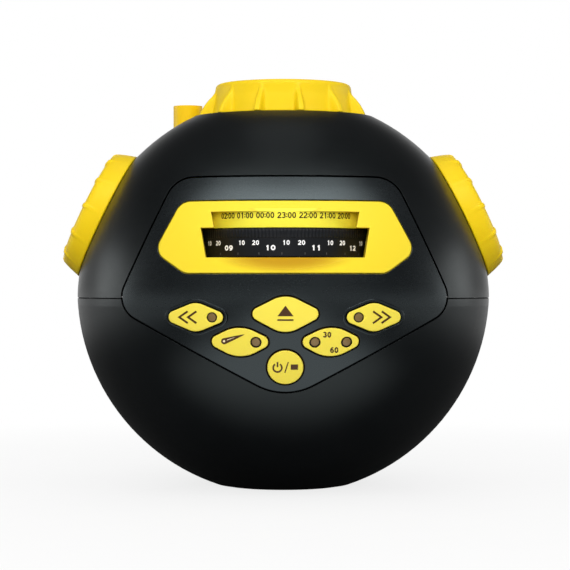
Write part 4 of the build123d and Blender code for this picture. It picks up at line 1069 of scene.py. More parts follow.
# ------------------------------------------------------------------------------------------
# sub-assemblies
# ------------------------------------------------------------------------------------------
@dataclass
class Dial:
    """Moulded grip with rounded fins: a closed profile carried round an axis."""

    name: str
    body: str
    node: str
    origin: Array
    across: Array
    axis: Array
    profile: Sequence[ProfileRow]
    fin_count: int = 12
    phase: float = 0.0
    steps: int = 30
    crowding: float = 0.65
    sharpness: int = 8

    def surface(self) -> Surface:
        """Points of the grip.

        The profile rows hold radius, height, fin reach, fin rise and fin half width. At angle a the
        radius grows by reach times 1 / (1 + (d / w) ** 8), where d is the distance along the rim to
        the nearest fin's middle and w the half width, and the height by rise times the same. The
        columns crowd towards the fins: the angle from a fin is a mix of its share and the square
        of its share.

        Returns:
            The closed surface.
        """
        rows = self._dense(np.asarray(self.profile, float) * MM)
        pitch = 2 * math.pi / self.fin_count
        share = np.linspace(-1.0, 1.0, self.steps, endpoint=False)
        reach = 1.0 - self.crowding + self.crowding * np.abs(share)
        nearest = np.tile(share * reach * pitch / 2, self.fin_count)
        angle = nearest + np.repeat(np.arange(self.fin_count) * pitch, self.steps)
        distance = np.abs(nearest)[None, :] * rows[:, :1]
        bump = 1.0 / (1.0 + (distance / rows[:, 4:5]) ** self.sharpness)
        radius = rows[:, :1] + rows[:, 2:3] * bump
        height = rows[:, 1:2] + rows[:, 3:4] * bump
        turn = angle + math.radians(self.phase)
        side = np.cross(self.axis, self.across)
        points = (
            self.origin
            + radius[..., None] * np.cos(turn)[None, :, None] * self.across
            + radius[..., None] * np.sin(turn)[None, :, None] * side
            + height[..., None] * self.axis
        )
        return Surface.grid(points, wrap_rows=True, wrap_columns=True)

    @staticmethod
    def _dense(rows: Array) -> Array:
        """Profile rows with in-between rows, spaced evenly on each run.

        Args:
            rows: The profile's corners.

        Returns:
            The corners and four rows between each two.
        """
        ends = np.roll(rows, -1, axis=0)
        share = np.linspace(0.0, 1.0, 6)[:-1]
        dense = rows[:, None, :] + (ends - rows)[:, None, :] * share[None, :, None]
        return dense.reshape(-1, rows.shape[1])

    def build(self, finish: bpy.types.Material) -> None:
        """Make the piece and let it stand for its node.

        Args:
            finish: Material of the grip.
        """
        piece = Piece(self.name, self.surface().flipped(), finish, self.body).smooth()
        piece.replaces(self.node).in_slot("dial_yellow")


@dataclass
class Dials:
    """Focus ring and side knobs."""

    ring_low: float = 150.5
    ring_high: float = 163.4
    ring_phase: float = 11.5
    knob_tilt: float = 26.0
    knob_seat: float = 79.65
    knob_depth: float = 9.15

    def ring_profile(self) -> List[ProfileRow]:
        """Outline of the focus ring, anticlockwise.

        Returns:
            Rows of the outer flank, the crown, the inner lip, the bore and the foot.
        """
        low, high = self.ring_low, self.ring_high
        return [
            (29.6, low, 5.0, 0.0, 1.45),
            (29.8, low + 0.4, 4.85, 0.0, 1.45),
            (29.4, low + 2.0, 4.5, 0.0, 1.40),
            (29.0, low + 4.0, 3.75, 0.0, 1.30),
            (28.6, low + 6.0, 2.65, 0.0, 1.20),
            (28.2, low + 7.8, 1.35, 0.0, 1.05),
            (28.0, low + 9.2, 0.50, 0.0, 0.95),
            (27.8, low + 11.0, 0.16, 0.0, 0.85),
            (27.6, low + 11.9, 0.0, 0.0, 0.8),
            (27.2, high - 0.40, 0.0, 0.0, 0.8),
            (26.5, high, 0.0, 0.0, 0.8),
            (23.4, high, 0.0, 0.0, 0.7),
            (22.6, high - 0.3, 0.0, 0.0, 0.7),
            (22.4, high - 1.0, 0.0, 0.0, 0.7),
            (22.4, 160.8, 0.0, 0.0, 0.7),
            (24.1, 160.8, 0.0, 0.0, 0.7),
            (24.1, low, 0.0, 0.0, 0.7),
        ]

    def knob_profile(self) -> List[ProfileRow]:
        """Outline of a side knob.

        Returns:
            Rows of the flank, the proud fin ends, the dished face and the hollow back.
        """
        depth = self.knob_depth
        return [
            (26.7, 0.0, 0.0, 0.0, 0.8),
            (27.1, 0.35, 0.0, 0.0, 0.8),
            (26.5, 2.4, 0.04, 0.0, 0.8),
            (25.7, 4.8, 0.10, 0.0, 0.8),
            (24.8, 6.8, 0.22, 0.1, 0.8),
            (24.0, 8.0, 0.40, 0.25, 0.8),
            (23.0, depth - 0.45, 0.55, 0.45, 0.9),
            (21.6, depth, 0.20, 0.48, 0.9),
            (18.8, depth, 0.0, 0.1, 0.8),
            (17.8, depth - 0.4, 0.0, 0.0, 0.8),
            (9.0, depth - 0.9, 0.0, 0.0, 0.8),
            (0.05, depth - 1.0, 0.0, 0.0, 0.8),
            (0.001, depth - 1.0, 0.0, 0.0, 0.8),
            (0.001, 1.0, 0.0, 0.0, 0.8),
            (6.0, 1.0, 0.0, 0.0, 0.8),
            (6.0, 6.0, 0.0, 0.0, 0.8),
            (21.4, 6.0, 0.0, 0.0, 0.8),
            (25.3, 0.0, 0.0, 0.0, 0.8),
        ]

    def build(self) -> None:
        """Make the ring and both knobs."""
        finish = DIAL_YELLOW.material()
        up = np.array([0.0, 0.0, 1.0])
        front = np.array([0.0, -1.0, 0.0])
        rows = self.ring_profile()
        ring = Dial("focus_grip", "focus", "focus_ring", np.zeros(3), front, up, rows, phase=self.ring_phase)
        ring.build(finish)
        tilt = math.radians(self.knob_tilt)
        for side, name in ((-1, "left"), (1, "right")):
            axis = np.array([side * math.cos(tilt), 0.0, math.sin(tilt)])
            foot = np.array([0.0, 0.0, LID_CENTRE]) + axis * self.knob_seat * MM
            names = (f"{name}_grip", f"{name}_dial", f"{name}_knob")
            Dial(*names, foot, front, axis, self.knob_profile()).build(finish)


@dataclass
class DateDrum:
    """Printed scales of the date drum and the hour scale above it. Angles are in degrees."""

    drum_radius: float = 33.0 * MM
    scale_radius: float = 31.0 * MM
    october: float = -9.7
    day_height: float = 97.35 * MM
    month_height: float = 95.45 * MM
    hour_height: float = 107.6 * MM
    days: Tuple[int, ...] = (10, 20)
    day_shift: float = 0.2
    ticks: Tuple[float, ...] = (7.5, 22.5)
    tick_foot: float = 92.9 * MM
    tick_head: float = 93.7 * MM
    tick_half_width: float = 0.12 * MM
    middle_hour: float = 1.0
    hours: Tuple[int, ...] = (2, 1, 0, 23, 22, 21, 20)
    day_digits: Digits = Digits(1.8 * MM, 1.26 * MM, 0.40 * MM, 0.22 * MM)
    month_digits: Digits = Digits(2.0 * MM, 1.80 * MM, 0.54 * MM, 0.30 * MM)
    hour_digits: Digits = Digits(2.25 * MM, 1.44 * MM, 0.40 * MM, 0.20 * MM)
    knurl_low: float = 99.2 * MM
    knurl_high: float = 102.55 * MM
    knurl_teeth: int = 150
    knurl_edge: float = 0.2 * MM
    knurl_seat: float = 0.01 * MM
    knurl_lift: float = 0.05 * MM
    knurl_swing: float = 0.22 * MM

    def build(self) -> None:
        """Make the drum's prints, its knurled band and the hour scale."""
        self._months()
        self._knurl()
        self._hours()

    def _months(self) -> None:
        """Month numbers, the tenth and twentieth day, and faint ticks round the drum."""
        drum = DrumFront(self.drum_radius + PRINT_LIFT)
        white: List[Surface] = []
        faint: List[Surface] = []
        for month in range(12):
            start = self.october + 30.0 * (month - 9)
            place = (drum.at(start), self.month_height)
            white.append(self.month_digits.write(f"{month + 1:02d}", place))
            for day in self.days:
                place = (drum.at(start + day + self.day_shift), self.day_height)
                white.append(self.day_digits.write(str(day), place))
            for tick in self.ticks:
                u = drum.at(start + tick)
                faint.append(Art.line((u, self.tick_foot), (u, self.tick_head), self.tick_half_width))
        scale, ticks = Surface.together(white), Surface.together(faint)
        Piece("drum_scale", drum.carry(scale), WHITE_INK.material(), "drum").thick(PRINT_THICKNESS)
        Piece("drum_ticks", drum.carry(ticks), FAINT_INK.material(), "drum").thick(PRINT_THICKNESS)

    def _knurl(self) -> None:
        """Grip band round the drum's upper edge: the radius swings with the cosine of the angle."""
        angle = np.linspace(0.0, 2 * math.pi, self.knurl_teeth * 6, endpoint=False)
        low, high, edge = self.knurl_low, self.knurl_high, self.knurl_edge
        heights = np.array([low, low + edge, high - edge, high])
        lift = np.array([0.0, 1.0, 1.0, 0.0])[:, None]
        swing = 0.5 + 0.5 * np.cos(angle * self.knurl_teeth)[None, :]
        radius = self.drum_radius + self.knurl_seat + lift * (self.knurl_lift + self.knurl_swing * swing)
        x = radius * np.sin(angle)
        y = DRUM_AXIS - radius * np.cos(angle)
        z = np.broadcast_to(heights[:, None], x.shape)
        band = Surface.grid(np.stack([x, y, z], -1), wrap_columns=True).flipped()
        piece = Piece("drum_knurl", band, DRUM_BLACK.material(), "drum").smooth()
        piece.thick(0.3 * MM).in_slot("drum_black")

    def _hours(self) -> None:
        """Hour numbers on the fixed scale, fifteen degrees apart."""
        wall = DrumFront(self.scale_radius + PRINT_LIFT)
        texts: List[Surface] = []
        for step, hour in enumerate(self.hours):
            turn = self.middle_hour + 15.0 * (step - len(self.hours) // 2)
            texts.append(self.hour_digits.write(f"{hour:02d}:00", (wall.at(turn), self.hour_height)))
        scale = wall.carry(Surface.together(texts))
        Piece("hour_scale", scale, SCALE_INK.material(), "base").thick(PRINT_THICKNESS)


@dataclass
class KeyPad:
    """Printed icons of the keys and the lenses of the indicator lamps. Icons are drawn in millimetres."""

    chevron_half_width: float = 0.37 * MM
    chevron_reach: float = 3.2
    chevron_rise: float = 2.2
    apexes: Tuple[float, ...] = (6.1, 2.8)
    lamp_radius: float = 1.62 * MM
    lamp_share: float = 0.94
    lamp_seat: float = 0.22 * MM
    lamp_rise: float = 0.16
    lamp_sink: float = 0.02
    minute_digits: Digits = Digits(2.15 * MM, 1.45 * MM, 0.50 * MM, 0.20 * MM)

    def build(self) -> None:
        """Make every icon and lamp."""
        ink = BROWN_INK.material()
        skin = BallFront(BASE_CENTRE, BALL_RADIUS + KEY_PROUD + PRINT_LIFT)
        icons = {
            "rewind": self._chevrons(-33.4, SIDE_KEY_HEIGHT, -1.0),
            "forward": self._chevrons(33.0, SIDE_KEY_HEIGHT, 1.0),
            "eject": self._eject(0.0, 70.8),
            "meteor": self._comet(-16.8, LOW_KEY_HEIGHT),
            "timer": self._minutes(16.8, LOW_KEY_HEIGHT),
            "power": self._power(0.0, 51.1),
        }
        for name, art in icons.items():
            Piece(f"{name}_icon", skin.carry(art), ink, f"{name}_key").thick(PRINT_THICKNESS)
        self._glow()
        self._lamps()

    def _glow(self) -> None:
        """Pale dot and streak in the comet's head, printed over the brown ink."""
        skin = BallFront(BASE_CENTRE, BALL_RADIUS + KEY_PROUD + 2 * PRINT_LIFT)
        dot = Art.disc((-22.7 * MM, 60.8 * MM), 0.42 * MM)
        path = np.array([[-21.6, 61.2], [-20.1, 61.75], [-18.6, 62.25]])
        streak = Art.ribbon(path * MM, np.array([0.13, 0.1, 0.02]) * MM)
        pale = Piece("meteor_glow", skin.carry(dot.joined(streak)), PALE_INK.material(), "meteor_key")
        pale.thick(PRINT_THICKNESS)

    def _chevrons(self, x: float, z: float, way: float) -> Surface:
        """Two thin chevrons that point left or right.

        Args:
            x: Middle of the key in millimetres.
            z: Its height.
            way: -1 for left, 1 for right.

        Returns:
            The flat icon.
        """
        bands = []
        for apex in self.apexes:
            foot = apex - self.chevron_reach
            path = np.array([[foot, self.chevron_rise], [apex, 0.0], [foot, -self.chevron_rise]])
            path[:, 0] *= way
            bands.append(Art.ribbon((path + [x, z]) * MM, self.chevron_half_width * way))
        return Surface.together(bands)

    def _eject(self, x: float, z: float) -> Surface:
        """Triangle over a thin bar.

        Args:
            x: Middle of the key in millimetres.
            z: Its height.

        Returns:
            The flat icon.
        """
        tip, foot, bar, half = z + 3.2, z - 0.7, z - 2.1, 2.95
        path = np.linspace([x, tip], [x, foot], 6)
        triangle = Art.ribbon(path * MM, np.linspace(0.01, half, 6) * MM)
        return triangle.joined(Art.line(((x - half) * MM, bar * MM), ((x + half) * MM, bar * MM), 0.30 * MM))

    def _comet(self, x: float, z: float) -> Surface:
        """Tapered streak with a round head: the half width falls with distance from the head.

        Args:
            x: Middle of the key in millimetres.
            z: Its height.

        Returns:
            The flat icon.
        """
        share = np.linspace(0.0, 1.0, 24)
        path = np.linspace([x - 7.0, z - 0.1], [x + 1.7, z + 2.85], len(share))
        head, half = 0.13, 1.15
        front = half * np.sqrt(np.clip(1.0 - ((share - head) / head) ** 2, 0.0, 1.0))
        tail = half * np.clip(1.0 - (share - head) / (1.0 - head), 0.0, 1.0) ** 0.8
        width = np.where(share < head, front, tail)
        return Art.ribbon(path * MM, np.maximum(width, 0.01) * MM)

    def _minutes(self, x: float, z: float) -> Surface:
        """Numbers 30 and 60 of the timer key.

        Args:
            x: Middle of the key in millimetres.
            z: Its height.

        Returns:
            The flat icon.
        """
        upper = self.minute_digits.write("30", ((x - 1.4) * MM, (z + 2.75) * MM))
        lower = self.minute_digits.write("60", ((x + 1.3) * MM, (z - 3.0) * MM))
        return upper.joined(lower)

    def _power(self, x: float, z: float) -> Surface:
        """Open ring with a bar, a slash and a square.

        Args:
            x: Middle of the key in millimetres.
            z: Its height.

        Returns:
            The flat icon.
        """
        ring = Art.arc(((x - 2.9) * MM, (z - 0.15) * MM), 1.6 * MM, 125.0, 415.0, 0.31 * MM)
        strokes = (
            ((-2.9, 0.1), (-2.9, 2.0), 0.30),
            ((-0.2, -2.0), (1.1, 2.0), 0.21),
            ((2.0, 0.1), (4.7, 0.1), 1.0),
        )
        key = np.array([x, z])
        lines = [Art.line((key + start) * MM, (key + end) * MM, half * MM) for start, end, half in strokes]
        return ring.joined(*lines)

    def _lamps(self) -> None:
        """Domed lenses that stand in the keys' holes: the height falls with the square of the radius."""
        share = np.linspace(0.0, 1.0, 9)[:, None]
        angle = np.linspace(0.0, 2 * math.pi, 40, endpoint=False)[None, :]
        radius = (0.01 + share * 0.99) * self.lamp_radius * self.lamp_share
        rise = (self.lamp_rise * (1.0 - share**2) - self.lamp_sink) * MM * np.ones_like(angle)
        seat = BALL_RADIUS + self.lamp_seat
        domes = []
        for x, z in np.array(LAMP_PLACES) * MM:
            foot = np.array([x, -math.sqrt(seat**2 - x**2 - (z - BASE_CENTRE) ** 2), z])
            normal = (foot - [0.0, 0.0, BASE_CENTRE]) / seat
            across = np.cross(normal, [0.0, 0.0, 1.0])
            across /= -np.linalg.norm(across)
            up = np.cross(across, normal)
            points = (
                foot
                + (radius * np.cos(angle))[..., None] * across
                + (radius * np.sin(angle))[..., None] * up
                + rise[..., None] * normal
            )
            domes.append(Surface.grid(points, wrap_columns=True))
        piece = Piece("lamp_lenses", Surface.together(domes), LAMP_AMBER.material(), "base").smooth()
        piece.thick(0.1 * MM).in_slot("lamp_amber")


@dataclass
class SideKeys:
    """Lozenge caps of the rewind and forward keys, each with the hole of its lamp."""

    half_width: float = 10.3
    half_height: float = 5.3
    tip_radius: float = 2.4
    crown_radius: float = 6.8
    edge: float = 0.42
    depth: float = 2.9
    hole: float = 1.93
    columns: int = 160

    def outline(self, inset: float) -> Array:
        """Rounded lozenge: two tip arcs and two crown arcs joined by their common tangents.

        Args:
            inset: Distance inside the full outline.

        Returns:
            Points on the outline, in millimetres. The normal's angle picks the arc: below the
            tangent's angle a point lies on the tip circle, above it on the crown circle. The
            points are spaced evenly along the full outline.
        """
        run = self.half_width - self.tip_radius
        drop = self.crown_radius - self.half_height
        reach = math.hypot(run, drop)
        switch = math.atan2(drop, run) + math.acos((self.crown_radius - self.tip_radius) / reach)
        angle = np.linspace(0.0, 2 * math.pi, 721)
        cosine, sine = np.cos(angle), np.sin(angle)
        tip = np.abs(sine) < math.sin(switch)
        u = np.where(tip, np.sign(cosine) * run, 0.0)
        v = np.where(tip, 0.0, -np.sign(sine) * drop)
        radius = np.where(tip, self.tip_radius, self.crown_radius)
        full = np.stack([u + radius * cosine, v + radius * sine], -1)
        length = np.concatenate([[0.0], np.cumsum(np.linalg.norm(np.diff(full, axis=0), axis=1))])
        places = np.linspace(0.0, length[-1], self.columns, endpoint=False)
        inside = full - inset * np.stack([cosine, sine], -1)
        return np.stack([np.interp(places, length, inside[:, axis]) for axis in (0, 1)], -1)

    def rows(self, hole_at: float) -> Tuple[Array, Array]:
        """Rows of the cap from the hole's foot over the face and the rounded edge to the outer foot.

        Args:
            hole_at: Place of the hole's middle across the key.

        Returns:
            Points in the front view and their depth under the face.
        """
        face = self.outline(self.edge)
        away = np.arctan2(face[:, 1], face[:, 0] - hole_at)
        ring = np.stack([hole_at + self.hole * np.cos(away), self.hole * np.sin(away)], -1)
        share = np.linspace(0.0, 1.0, 12)[:, None, None]
        turn = np.radians(np.linspace(12.0, 90.0, 6))
        edge = [self.outline(self.edge * (1.0 - math.sin(t))) for t in turn]
        sink = [self.edge * (1.0 - math.cos(t)) for t in turn]
        flat = np.stack([ring, *(ring + (face - ring) * share), *edge, self.outline(0.0)])
        return flat, np.array([self.depth, *np.zeros(len(share)), *sink, self.depth])

    def build(self) -> None:
        """Make both caps on the ball's skin: a point sinks by its depth towards the middle."""
        finish = KEY_YELLOW.material()
        for name, middle in SIDE_KEY_MIDDLES.items():
            flat, depth = self.rows(math.copysign(SIDE_LAMP, middle) - middle)
            cap = self.shell(flat, middle, BALL_RADIUS + KEY_PROUD, depth)
            piece = Piece(f"{name}_cap", cap, finish, f"{name}_key").smooth()
            piece.replaces(f"{name}_button").in_slot("key_yellow")

    @staticmethod
    def shell(flat: Array, middle: float, radius: float, depth: Array) -> Surface:
        """Lay closed rows on a sphere round the lower sphere's centre.

        Args:
            flat: Rows of points in the front view, in millimetres from the key's middle.
            middle: The key's middle along X in millimetres.
            radius: Radius of the sphere.
            depth: Depth of each row under the sphere along Y, in millimetres.

        Returns:
            The surface, closed both ways.
        """
        x = (flat[..., 0] + middle) * MM
        z = (flat[..., 1] + SIDE_KEY_HEIGHT) * MM
        y = -np.sqrt(radius**2 - x**2 - (z - BASE_CENTRE) ** 2) + depth[:, None] * MM
        return Surface.grid(np.stack([x, y, z], -1), wrap_rows=True, wrap_columns=True)


@dataclass
class KeyLips:
    """Rounded lips of the panel round the side keys."""

    gap: float = 0.40
    width: float = 1.15
    proud: float = 0.04
    depth: float = 1.6
    inner_round: float = 0.35
    outer_round: float = 0.3

    def section(self) -> Array:
        """Section of the lip, from its inner foot over the rounded edge to its outer foot.

        Returns:
            Distance from the cap's outline and depth under the panel's skin, in millimetres.
        """
        turn = np.radians(np.linspace(0.0, 90.0, 6))
        far = self.gap + self.width
        edge = [
            (
                self.gap + self.inner_round * (1.0 - math.cos(t)),
                -self.proud + self.inner_round * (1.0 - math.sin(t)),
            )
            for t in turn
        ]
        soft = self.outer_round
        outer = [(far - soft, -self.proud), (far, 0.03), (far, soft), (self.gap + soft, self.depth)]
        return np.array([(self.gap, self.depth), *edge, *outer])

    def build(self) -> None:
        """Carry the section round the outline of each side key's cap."""
        keys = SideKeys()
        finish = PANEL_BLACK.material()
        section = self.section()
        flat = np.stack([keys.outline(-grow) for grow in section[:, 0]])
        for name, middle in SIDE_KEY_MIDDLES.items():
            lip = keys.shell(flat, middle, BALL_RADIUS, section[:, 1])
            Piece(f"{name}_lip", lip, finish, "base").smooth().in_slot("panel_black")


@dataclass
class RimGasket:
    """Thin black strip on the base's rim that fills the seam gap, open at the front where the panel stands:
    painted shade for the dark inside of the seam.
    """

    inner: float = 82.2 * MM
    outer: float = 83.6 * MM
    low: float = 76.23 * MM
    high: float = 76.50 * MM
    open_half: float = 54.0

    def build(self) -> None:
        """Carry a flat rounded section round the rim.

        Its corners follow the square root of cosine and sine, each with its own sign.
        """
        turn = np.linspace(0.0, 2 * math.pi, 17)[:-1]
        wide, tall = (np.sign(v) * np.sqrt(np.abs(v)) for v in (np.cos(turn), np.sin(turn)))
        radius = (self.outer + self.inner) / 2 + (self.outer - self.inner) / 2 * wide
        height = (self.high + self.low) / 2 + (self.high - self.low) / 2 * tall
        angle = np.radians(np.linspace(self.open_half, 360.0 - self.open_half, 180))[:, None]
        points = np.stack([radius * np.sin(angle), -radius * np.cos(angle), height + 0.0 * angle], -1)
        surface = Surface.grid(points, wrap_columns=True)
        count, total = len(turn), points.shape[0] * len(turn)
        surface.faces += [list(range(count))[::-1], list(range(total - count, total))]
        # painted shade: dark strip so that the seam gap reads dark
        piece = Piece("seam_shade_strip", surface, Rubber("seam_shade_rubber").material(), "base")
        piece.in_slot("foot_rubber")


@dataclass
class Screws:
    """Dark crosses on the screws that can be seen: painted shade for their cross recesses."""

    door_tilt: float = 35.0
    door_radius: float = 84.0
    door_rise: float = 19.0
    door_reach: float = 1.5 * MM
    deck_x: Tuple[float, ...] = (-50.0, 50.0)
    deck_y: Tuple[float, ...] = (-28.0, 38.0)
    deck_top: float = 76.32
    deck_reach: float = 1.6 * MM

    def build(self) -> None:
        """Make the painted shade crosses of the door screw and the deck screws."""
        # painted shade for the cross recesses
        ink = RECESS_SHADE_BLACK.material()
        tilt = math.radians(self.door_tilt)
        out = np.array([0.0, math.cos(tilt), -math.sin(tilt)])
        up = np.array([0.0, math.sin(tilt), math.cos(tilt)])
        seat = math.sqrt(self.door_radius**2 - self.door_rise**2) + 0.02
        foot = np.array([0.0, 0.0, BASE_CENTRE]) + (out * seat + up * self.door_rise) * MM
        mark = self._cross(foot, np.array([-1.0, 0.0, 0.0]), up, self.door_reach)
        Piece("door_screw_recess_shade", mark, ink, "battery_cover").thick(PRINT_THICKNESS)
        marks = []
        for x in self.deck_x:
            for y in self.deck_y:
                place = np.array([x, y, self.deck_top]) * MM
                across, along = np.eye(3)[:2]
                marks.append(self._cross(place, across, along, self.deck_reach))
        Piece("deck_screw_recess_shades", Surface.together(marks), ink, "base").thick(PRINT_THICKNESS)

    @staticmethod
    def _cross(foot: Array, across: Array, up: Array, reach: float) -> Surface:
        """Cross of two bands in a plane.

        Args:
            foot: Its middle.
            across: First direction.
            up: Second direction.
            reach: Half length of the bands.

        Returns:
            The cross.
        """
        half = reach * 0.22
        level = Art.line((-reach, 0.0), (reach, 0.0), half)
        bands = level.joined(Art.line((0.0, -reach), (0.0, reach), half))
        points = foot + bands.points[:, :1] * across + bands.points[:, 1:] * up
        return Surface(points, bands.faces)


@dataclass
class Housing:
    """Finishes of the model's own nodes."""

    nodes: Dict[str, bpy.types.Object]

    def dress(self, finish: bpy.types.Material, *names: str) -> None:
        """Give nodes a material.

        Args:
            finish: The material.
            names: Names of the nodes.
        """
        for name in names:
            node = self.nodes[name]
            if not node.material_slots:
                node.data.materials.append(finish)
            for slot in node.material_slots:
                slot.material = finish
            log.info("node %s: %s", name, finish.name)

    def build(self) -> None:
        """Dress every node."""
        self.dress(BODY_BLACK.material(), "lower_shell", "upper_shell", "battery_door")
        self.dress(PANEL_BLACK.material(), "front_panel")
        self.dress(BEZEL_YELLOW.material(), "window_bezel")
        keys = ("rewind", "forward", "eject", "meteor", "timer", "power")
        self.dress(KEY_YELLOW.material(), *(f"{key}_button" for key in keys))
        self.dress(DIAL_YELLOW.material(), "focus_ring", "left_knob", "right_knob")
        self.dress(TUBE_AMBER.material(), "meteor_tube")
        self.dress(DRUM_BLACK.material(), "date_drum")
        self.dress(Rubber().material(), "rubber_foot")
        self.dress(DECK_GREY.material(), "chassis_deck")
        inner = ("lamp_post", "battery_box", "dc_jack", "lens_collar", "lens_barrel", "lens_retainers")
        self.dress(INNER_BLACK.material(), *inner, "lid_catches", "latch_slide", "tact_switches")
        self.dress(ACETAL.material(), "drum_gear", "turntable", "drive_pinion")
        self.dress(StarFilm().material(), "star_disc")
        self.dress(CircuitBoard().material(), "star_led_board", "button_board", "main_board", "meteor_led")
        screws = ("deck_screws", "panel_screws", "collar_screws", "battery_door_screw")
        self.dress(ZINC.material(), *screws, "drum_spindle", "hinge_pin", "battery_contacts")
        self.dress(DRAWN_STEEL.material(), "gear_motor", "left_pot", "right_pot")
        self.dress(CellJacket().material(), "battery_cells")
        # painted shade ring round the lamp lenses
        self.dress(LAMP_SHADE_RING.material(), "indicator_leds")
        self.dress(LAMP_CLEAR.material(), "star_led")
        self.dress(LENS_GLASS.material(), "front_lens", "rear_lens", "condenser_lens", "meteor_lens")


# ------------------------------------------------------------------------------------------
# studio
# ------------------------------------------------------------------------------------------
def aim(place: Array, target: Array) -> Tuple[float, float, float]:
    """Euler angles that turn -Z from a place towards a target with no roll.

    Args:
        place: Where the lamp or camera stands.
        target: What it looks at.

    Returns:
        Rotation about X, Y and Z.
    """
    x, y, z = target - place
    return (math.atan2(math.hypot(x, y), -z), 0.0, math.atan2(-x, y))


@dataclass(frozen=True)
class SoftBox:
    """A square soft lamp that points at the ball and shows in reflections if it is mirrored."""

    name: str
    place: Tuple[float, float, float]
    size: Tuple[float, float]
    power: float
    mirrored: bool = True

    def build(self, target: Array) -> None:
        """Hang the lamp.

        Args:
            target: Point that it faces.
        """
        lamp = bpy.data.lights.new(self.name, "AREA")
        lamp.shape = "RECTANGLE"
        lamp.size, lamp.size_y = self.size
        lamp.energy = self.power
        holder = bpy.data.objects.new(self.name, lamp)
        bpy.context.scene.collection.objects.link(holder)
        holder.location = self.place
        holder.rotation_euler = aim(np.array(self.place), target)
        holder.visible_glossy = self.mirrored


LAMPS = (
    SoftBox("top_front_box", (0.0, -0.80, 0.97), (2.4, 0.30), 3.6),
    SoftBox("overhead_box", (0.0, 0.10, 1.30), (0.5, 0.9), 0.4),
    SoftBox("left_box", (-1.10, 0.36, 0.20), (0.5, 0.36), 1.0),
    SoftBox("right_box", (1.10, 0.36, 0.20), (0.5, 0.36), 0.9),
    SoftBox("front_box", (0.0, -1.62, 0.36), (1.0, 0.5), 15.5, mirrored=False),
    SoftBox("rear_box", (0.0, 1.60, 0.90), (1.0, 0.5), 5.0, mirrored=False),
)


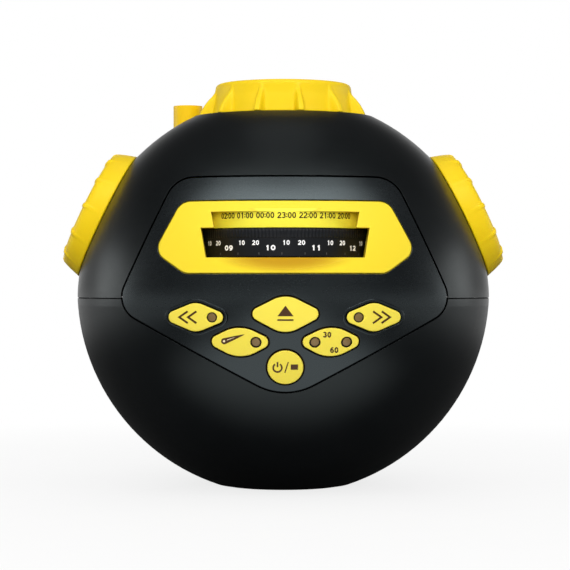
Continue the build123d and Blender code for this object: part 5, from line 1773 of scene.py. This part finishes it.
@dataclass
class Studio:
    """Pale floor, surroundings and the camera."""

    # camera
    distance: float = 0.820
    height: float = 81.6 * MM
    slide: float = 0.70 * MM
    yaw: float = 0.6
    focal_pixels: float = 2000.0
    image_pixels: float = 570.0
    sensor: float = 36.0
    # tones of the floor: as it is seen, as it lights the object, and as it is mirrored
    floor_reach: float = 30.0
    floor_pale: Tuple[float, float] = (0.88, 0.92)
    floor_dim: float = 0.22
    floor_mirrored: float = 0.05
    # where the floor glows and how much: first squares of distances, then the patch's edge along Y
    near_glow: float = 0.80
    white_from: Tuple[float, float] = (0.03, 0.16)
    far_from: Tuple[float, float] = (0.6, 9.0)
    far_glow: float = 0.8
    sides_from: Tuple[float, float] = (0.03, 0.20)
    sides_glow: float = 0.40
    patch_width: Tuple[float, float] = (0.0016, 0.0225)
    patch_edge: Tuple[float, float] = (-0.06, -0.11)
    # light of the surroundings on the object, and what the object mirrors of them
    ambient: float = 0.62
    mirror_base: float = 0.05
    mirror_beside: float = 0.25
    mirror_behind: float = 0.70
    mirror_above: float = 3.0
    mirror_ahead: float = 0.22

    def build(self) -> None:
        """Make the floor, the world, the lamps and the camera."""
        self._floor()
        self._world()
        for lamp in LAMPS:
            lamp.build(np.array([0.0, 0.0, BASE_CENTRE]))
        self._camera()

    def _floor(self) -> None:
        """Large pale floor: it keeps the shadow near the object and is plain white far from it."""
        reach = np.linspace(-self.floor_reach, self.floor_reach, 3)
        x, y = np.meshgrid(reach, reach, indexing="ij")
        surface = Surface.grid(np.stack([x, y, np.zeros_like(x)], -1))
        mesh = bpy.data.meshes.new("floor")
        mesh.from_pydata(surface.points.tolist(), [], surface.faces)
        mesh.materials.append(self._floor_finish())
        floor = bpy.data.objects.new("floor", mesh)
        bpy.context.scene.collection.objects.link(floor)

    def _floor_finish(self) -> bpy.types.Material:
        """Finish of the floor, which shines by a share that depends on the ray and the place.

        Returns:
            The material. What is seen is nearly all glow and whole glow far from the object. What
            is mirrored glows far away, beside the object and in a patch before the panel.
        """
        graph = Graph.material("pale_floor")
        seen, glossy = graph.seen, graph.ray("Glossy")
        pale = graph.blend(graph.noise(0.02, 3.0), *((tone,) * 3 for tone in self.floor_pale))
        dim = graph.blend(glossy, (self.floor_dim,) * 3, (self.floor_mirrored,) * 3)
        graph.finish(Base_Color=graph.blend(seen, dim, pale), Roughness=0.9, Specular_IOR_Level=0.1)
        across, along = graph.axis(0), graph.axis(1)
        wide = across * across
        square = wide + along * along
        far = square.step(*self.far_from) * self.far_glow
        sides = wide.step(*self.sides_from) * self.sides_glow
        patch = along.step(*self.patch_edge) * (1.0 - wide.step(*self.patch_width))
        mirrored = far.larger(sides).larger(patch)
        direct = self.near_glow + square.step(*self.white_from) * (1.0 - self.near_glow)
        share = seen * direct + glossy * mirrored
        glow = graph.node("ShaderNodeEmission", {}, {0: (1.0, 1.0, 1.0, 1.0), 1: 1.0})
        parts = {0: share, 1: graph.out(graph.shader), 2: graph.out(glow)}
        graph.end_with(graph.out(graph.node("ShaderNodeMixShader", {}, parts)))
        return graph.owner

    def _world(self) -> None:
        """White backdrop for what is seen, and softer surroundings for what is lit or mirrored.

        What is mirrored grows low at the sides and again straight behind. It has a bright band high
        in front and a faint glow low in front. Each part rises between two shares of the direction.
        """
        world = bpy.data.worlds.new("studio")
        bpy.context.scene.world = world
        graph = Graph(world)
        direction = graph.out(graph.node("ShaderNodeTexCoord"), "Generated")
        along, height = graph.axis(1, direction), graph.axis(2, direction)
        low = 1.0 - height.step(0.15, 0.60)
        beside = along.step(-0.35, 0.25) * low
        behind = along.step(0.80, 1.0) * low
        above = height.step(0.60, 0.76) * (1.0 - height.step(0.86, 0.97)) * along.step(-0.05, -0.45)
        ahead = along.step(-0.40, -0.90) * (1.0 - height.step(0.10, 0.45))
        mirrored = (
            self.mirror_base
            + beside * self.mirror_beside
            + behind * self.mirror_behind
            + above * self.mirror_above
            + ahead * self.mirror_ahead
        )
        seen, glossy = graph.seen, graph.ray("Glossy")
        strength = (self.ambient * (1.0 - glossy) + mirrored * glossy) * (1.0 - seen) + seen
        sky = graph.node("ShaderNodeBackground", {}, {0: (1.0, 1.0, 1.0, 1.0), 1: strength})
        graph.node("ShaderNodeOutputWorld", {}, {0: graph.out(sky)})

    def _camera(self) -> None:
        """Level camera in front of the panel, turned slightly round the optical axis."""
        yaw = math.radians(self.yaw)
        camera = bpy.data.cameras.new("camera")
        camera.sensor_width = self.sensor
        camera.lens = self.focal_pixels / self.image_pixels * self.sensor
        camera.clip_start = 0.05
        camera.clip_end = 100.0
        holder = bpy.data.objects.new("camera", camera)
        bpy.context.scene.collection.objects.link(holder)
        x = self.slide * math.cos(yaw) - self.distance * math.sin(yaw)
        y = -self.slide * math.sin(yaw) - self.distance * math.cos(yaw)
        holder.location = (x, y, self.height)
        holder.rotation_euler = (math.radians(90.0), 0.0, -yaw)
        bpy.context.scene.camera = holder


def main() -> None:
    """Load the model, dress it and light it."""
    logging.basicConfig(level=logging.INFO, format="%(name)s: %(message)s")
    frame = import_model()
    bpy.context.scene.view_settings.view_transform = "Standard"
    Studio().build()
    Housing(frame["nodes"]).build()
    Dials().build()
    DateDrum().build()
    KeyPad().build()
    SideKeys().build()
    KeyLips().build()
    RimGasket().build()
    Screws().build()


if __name__ == "__main__":
    main()
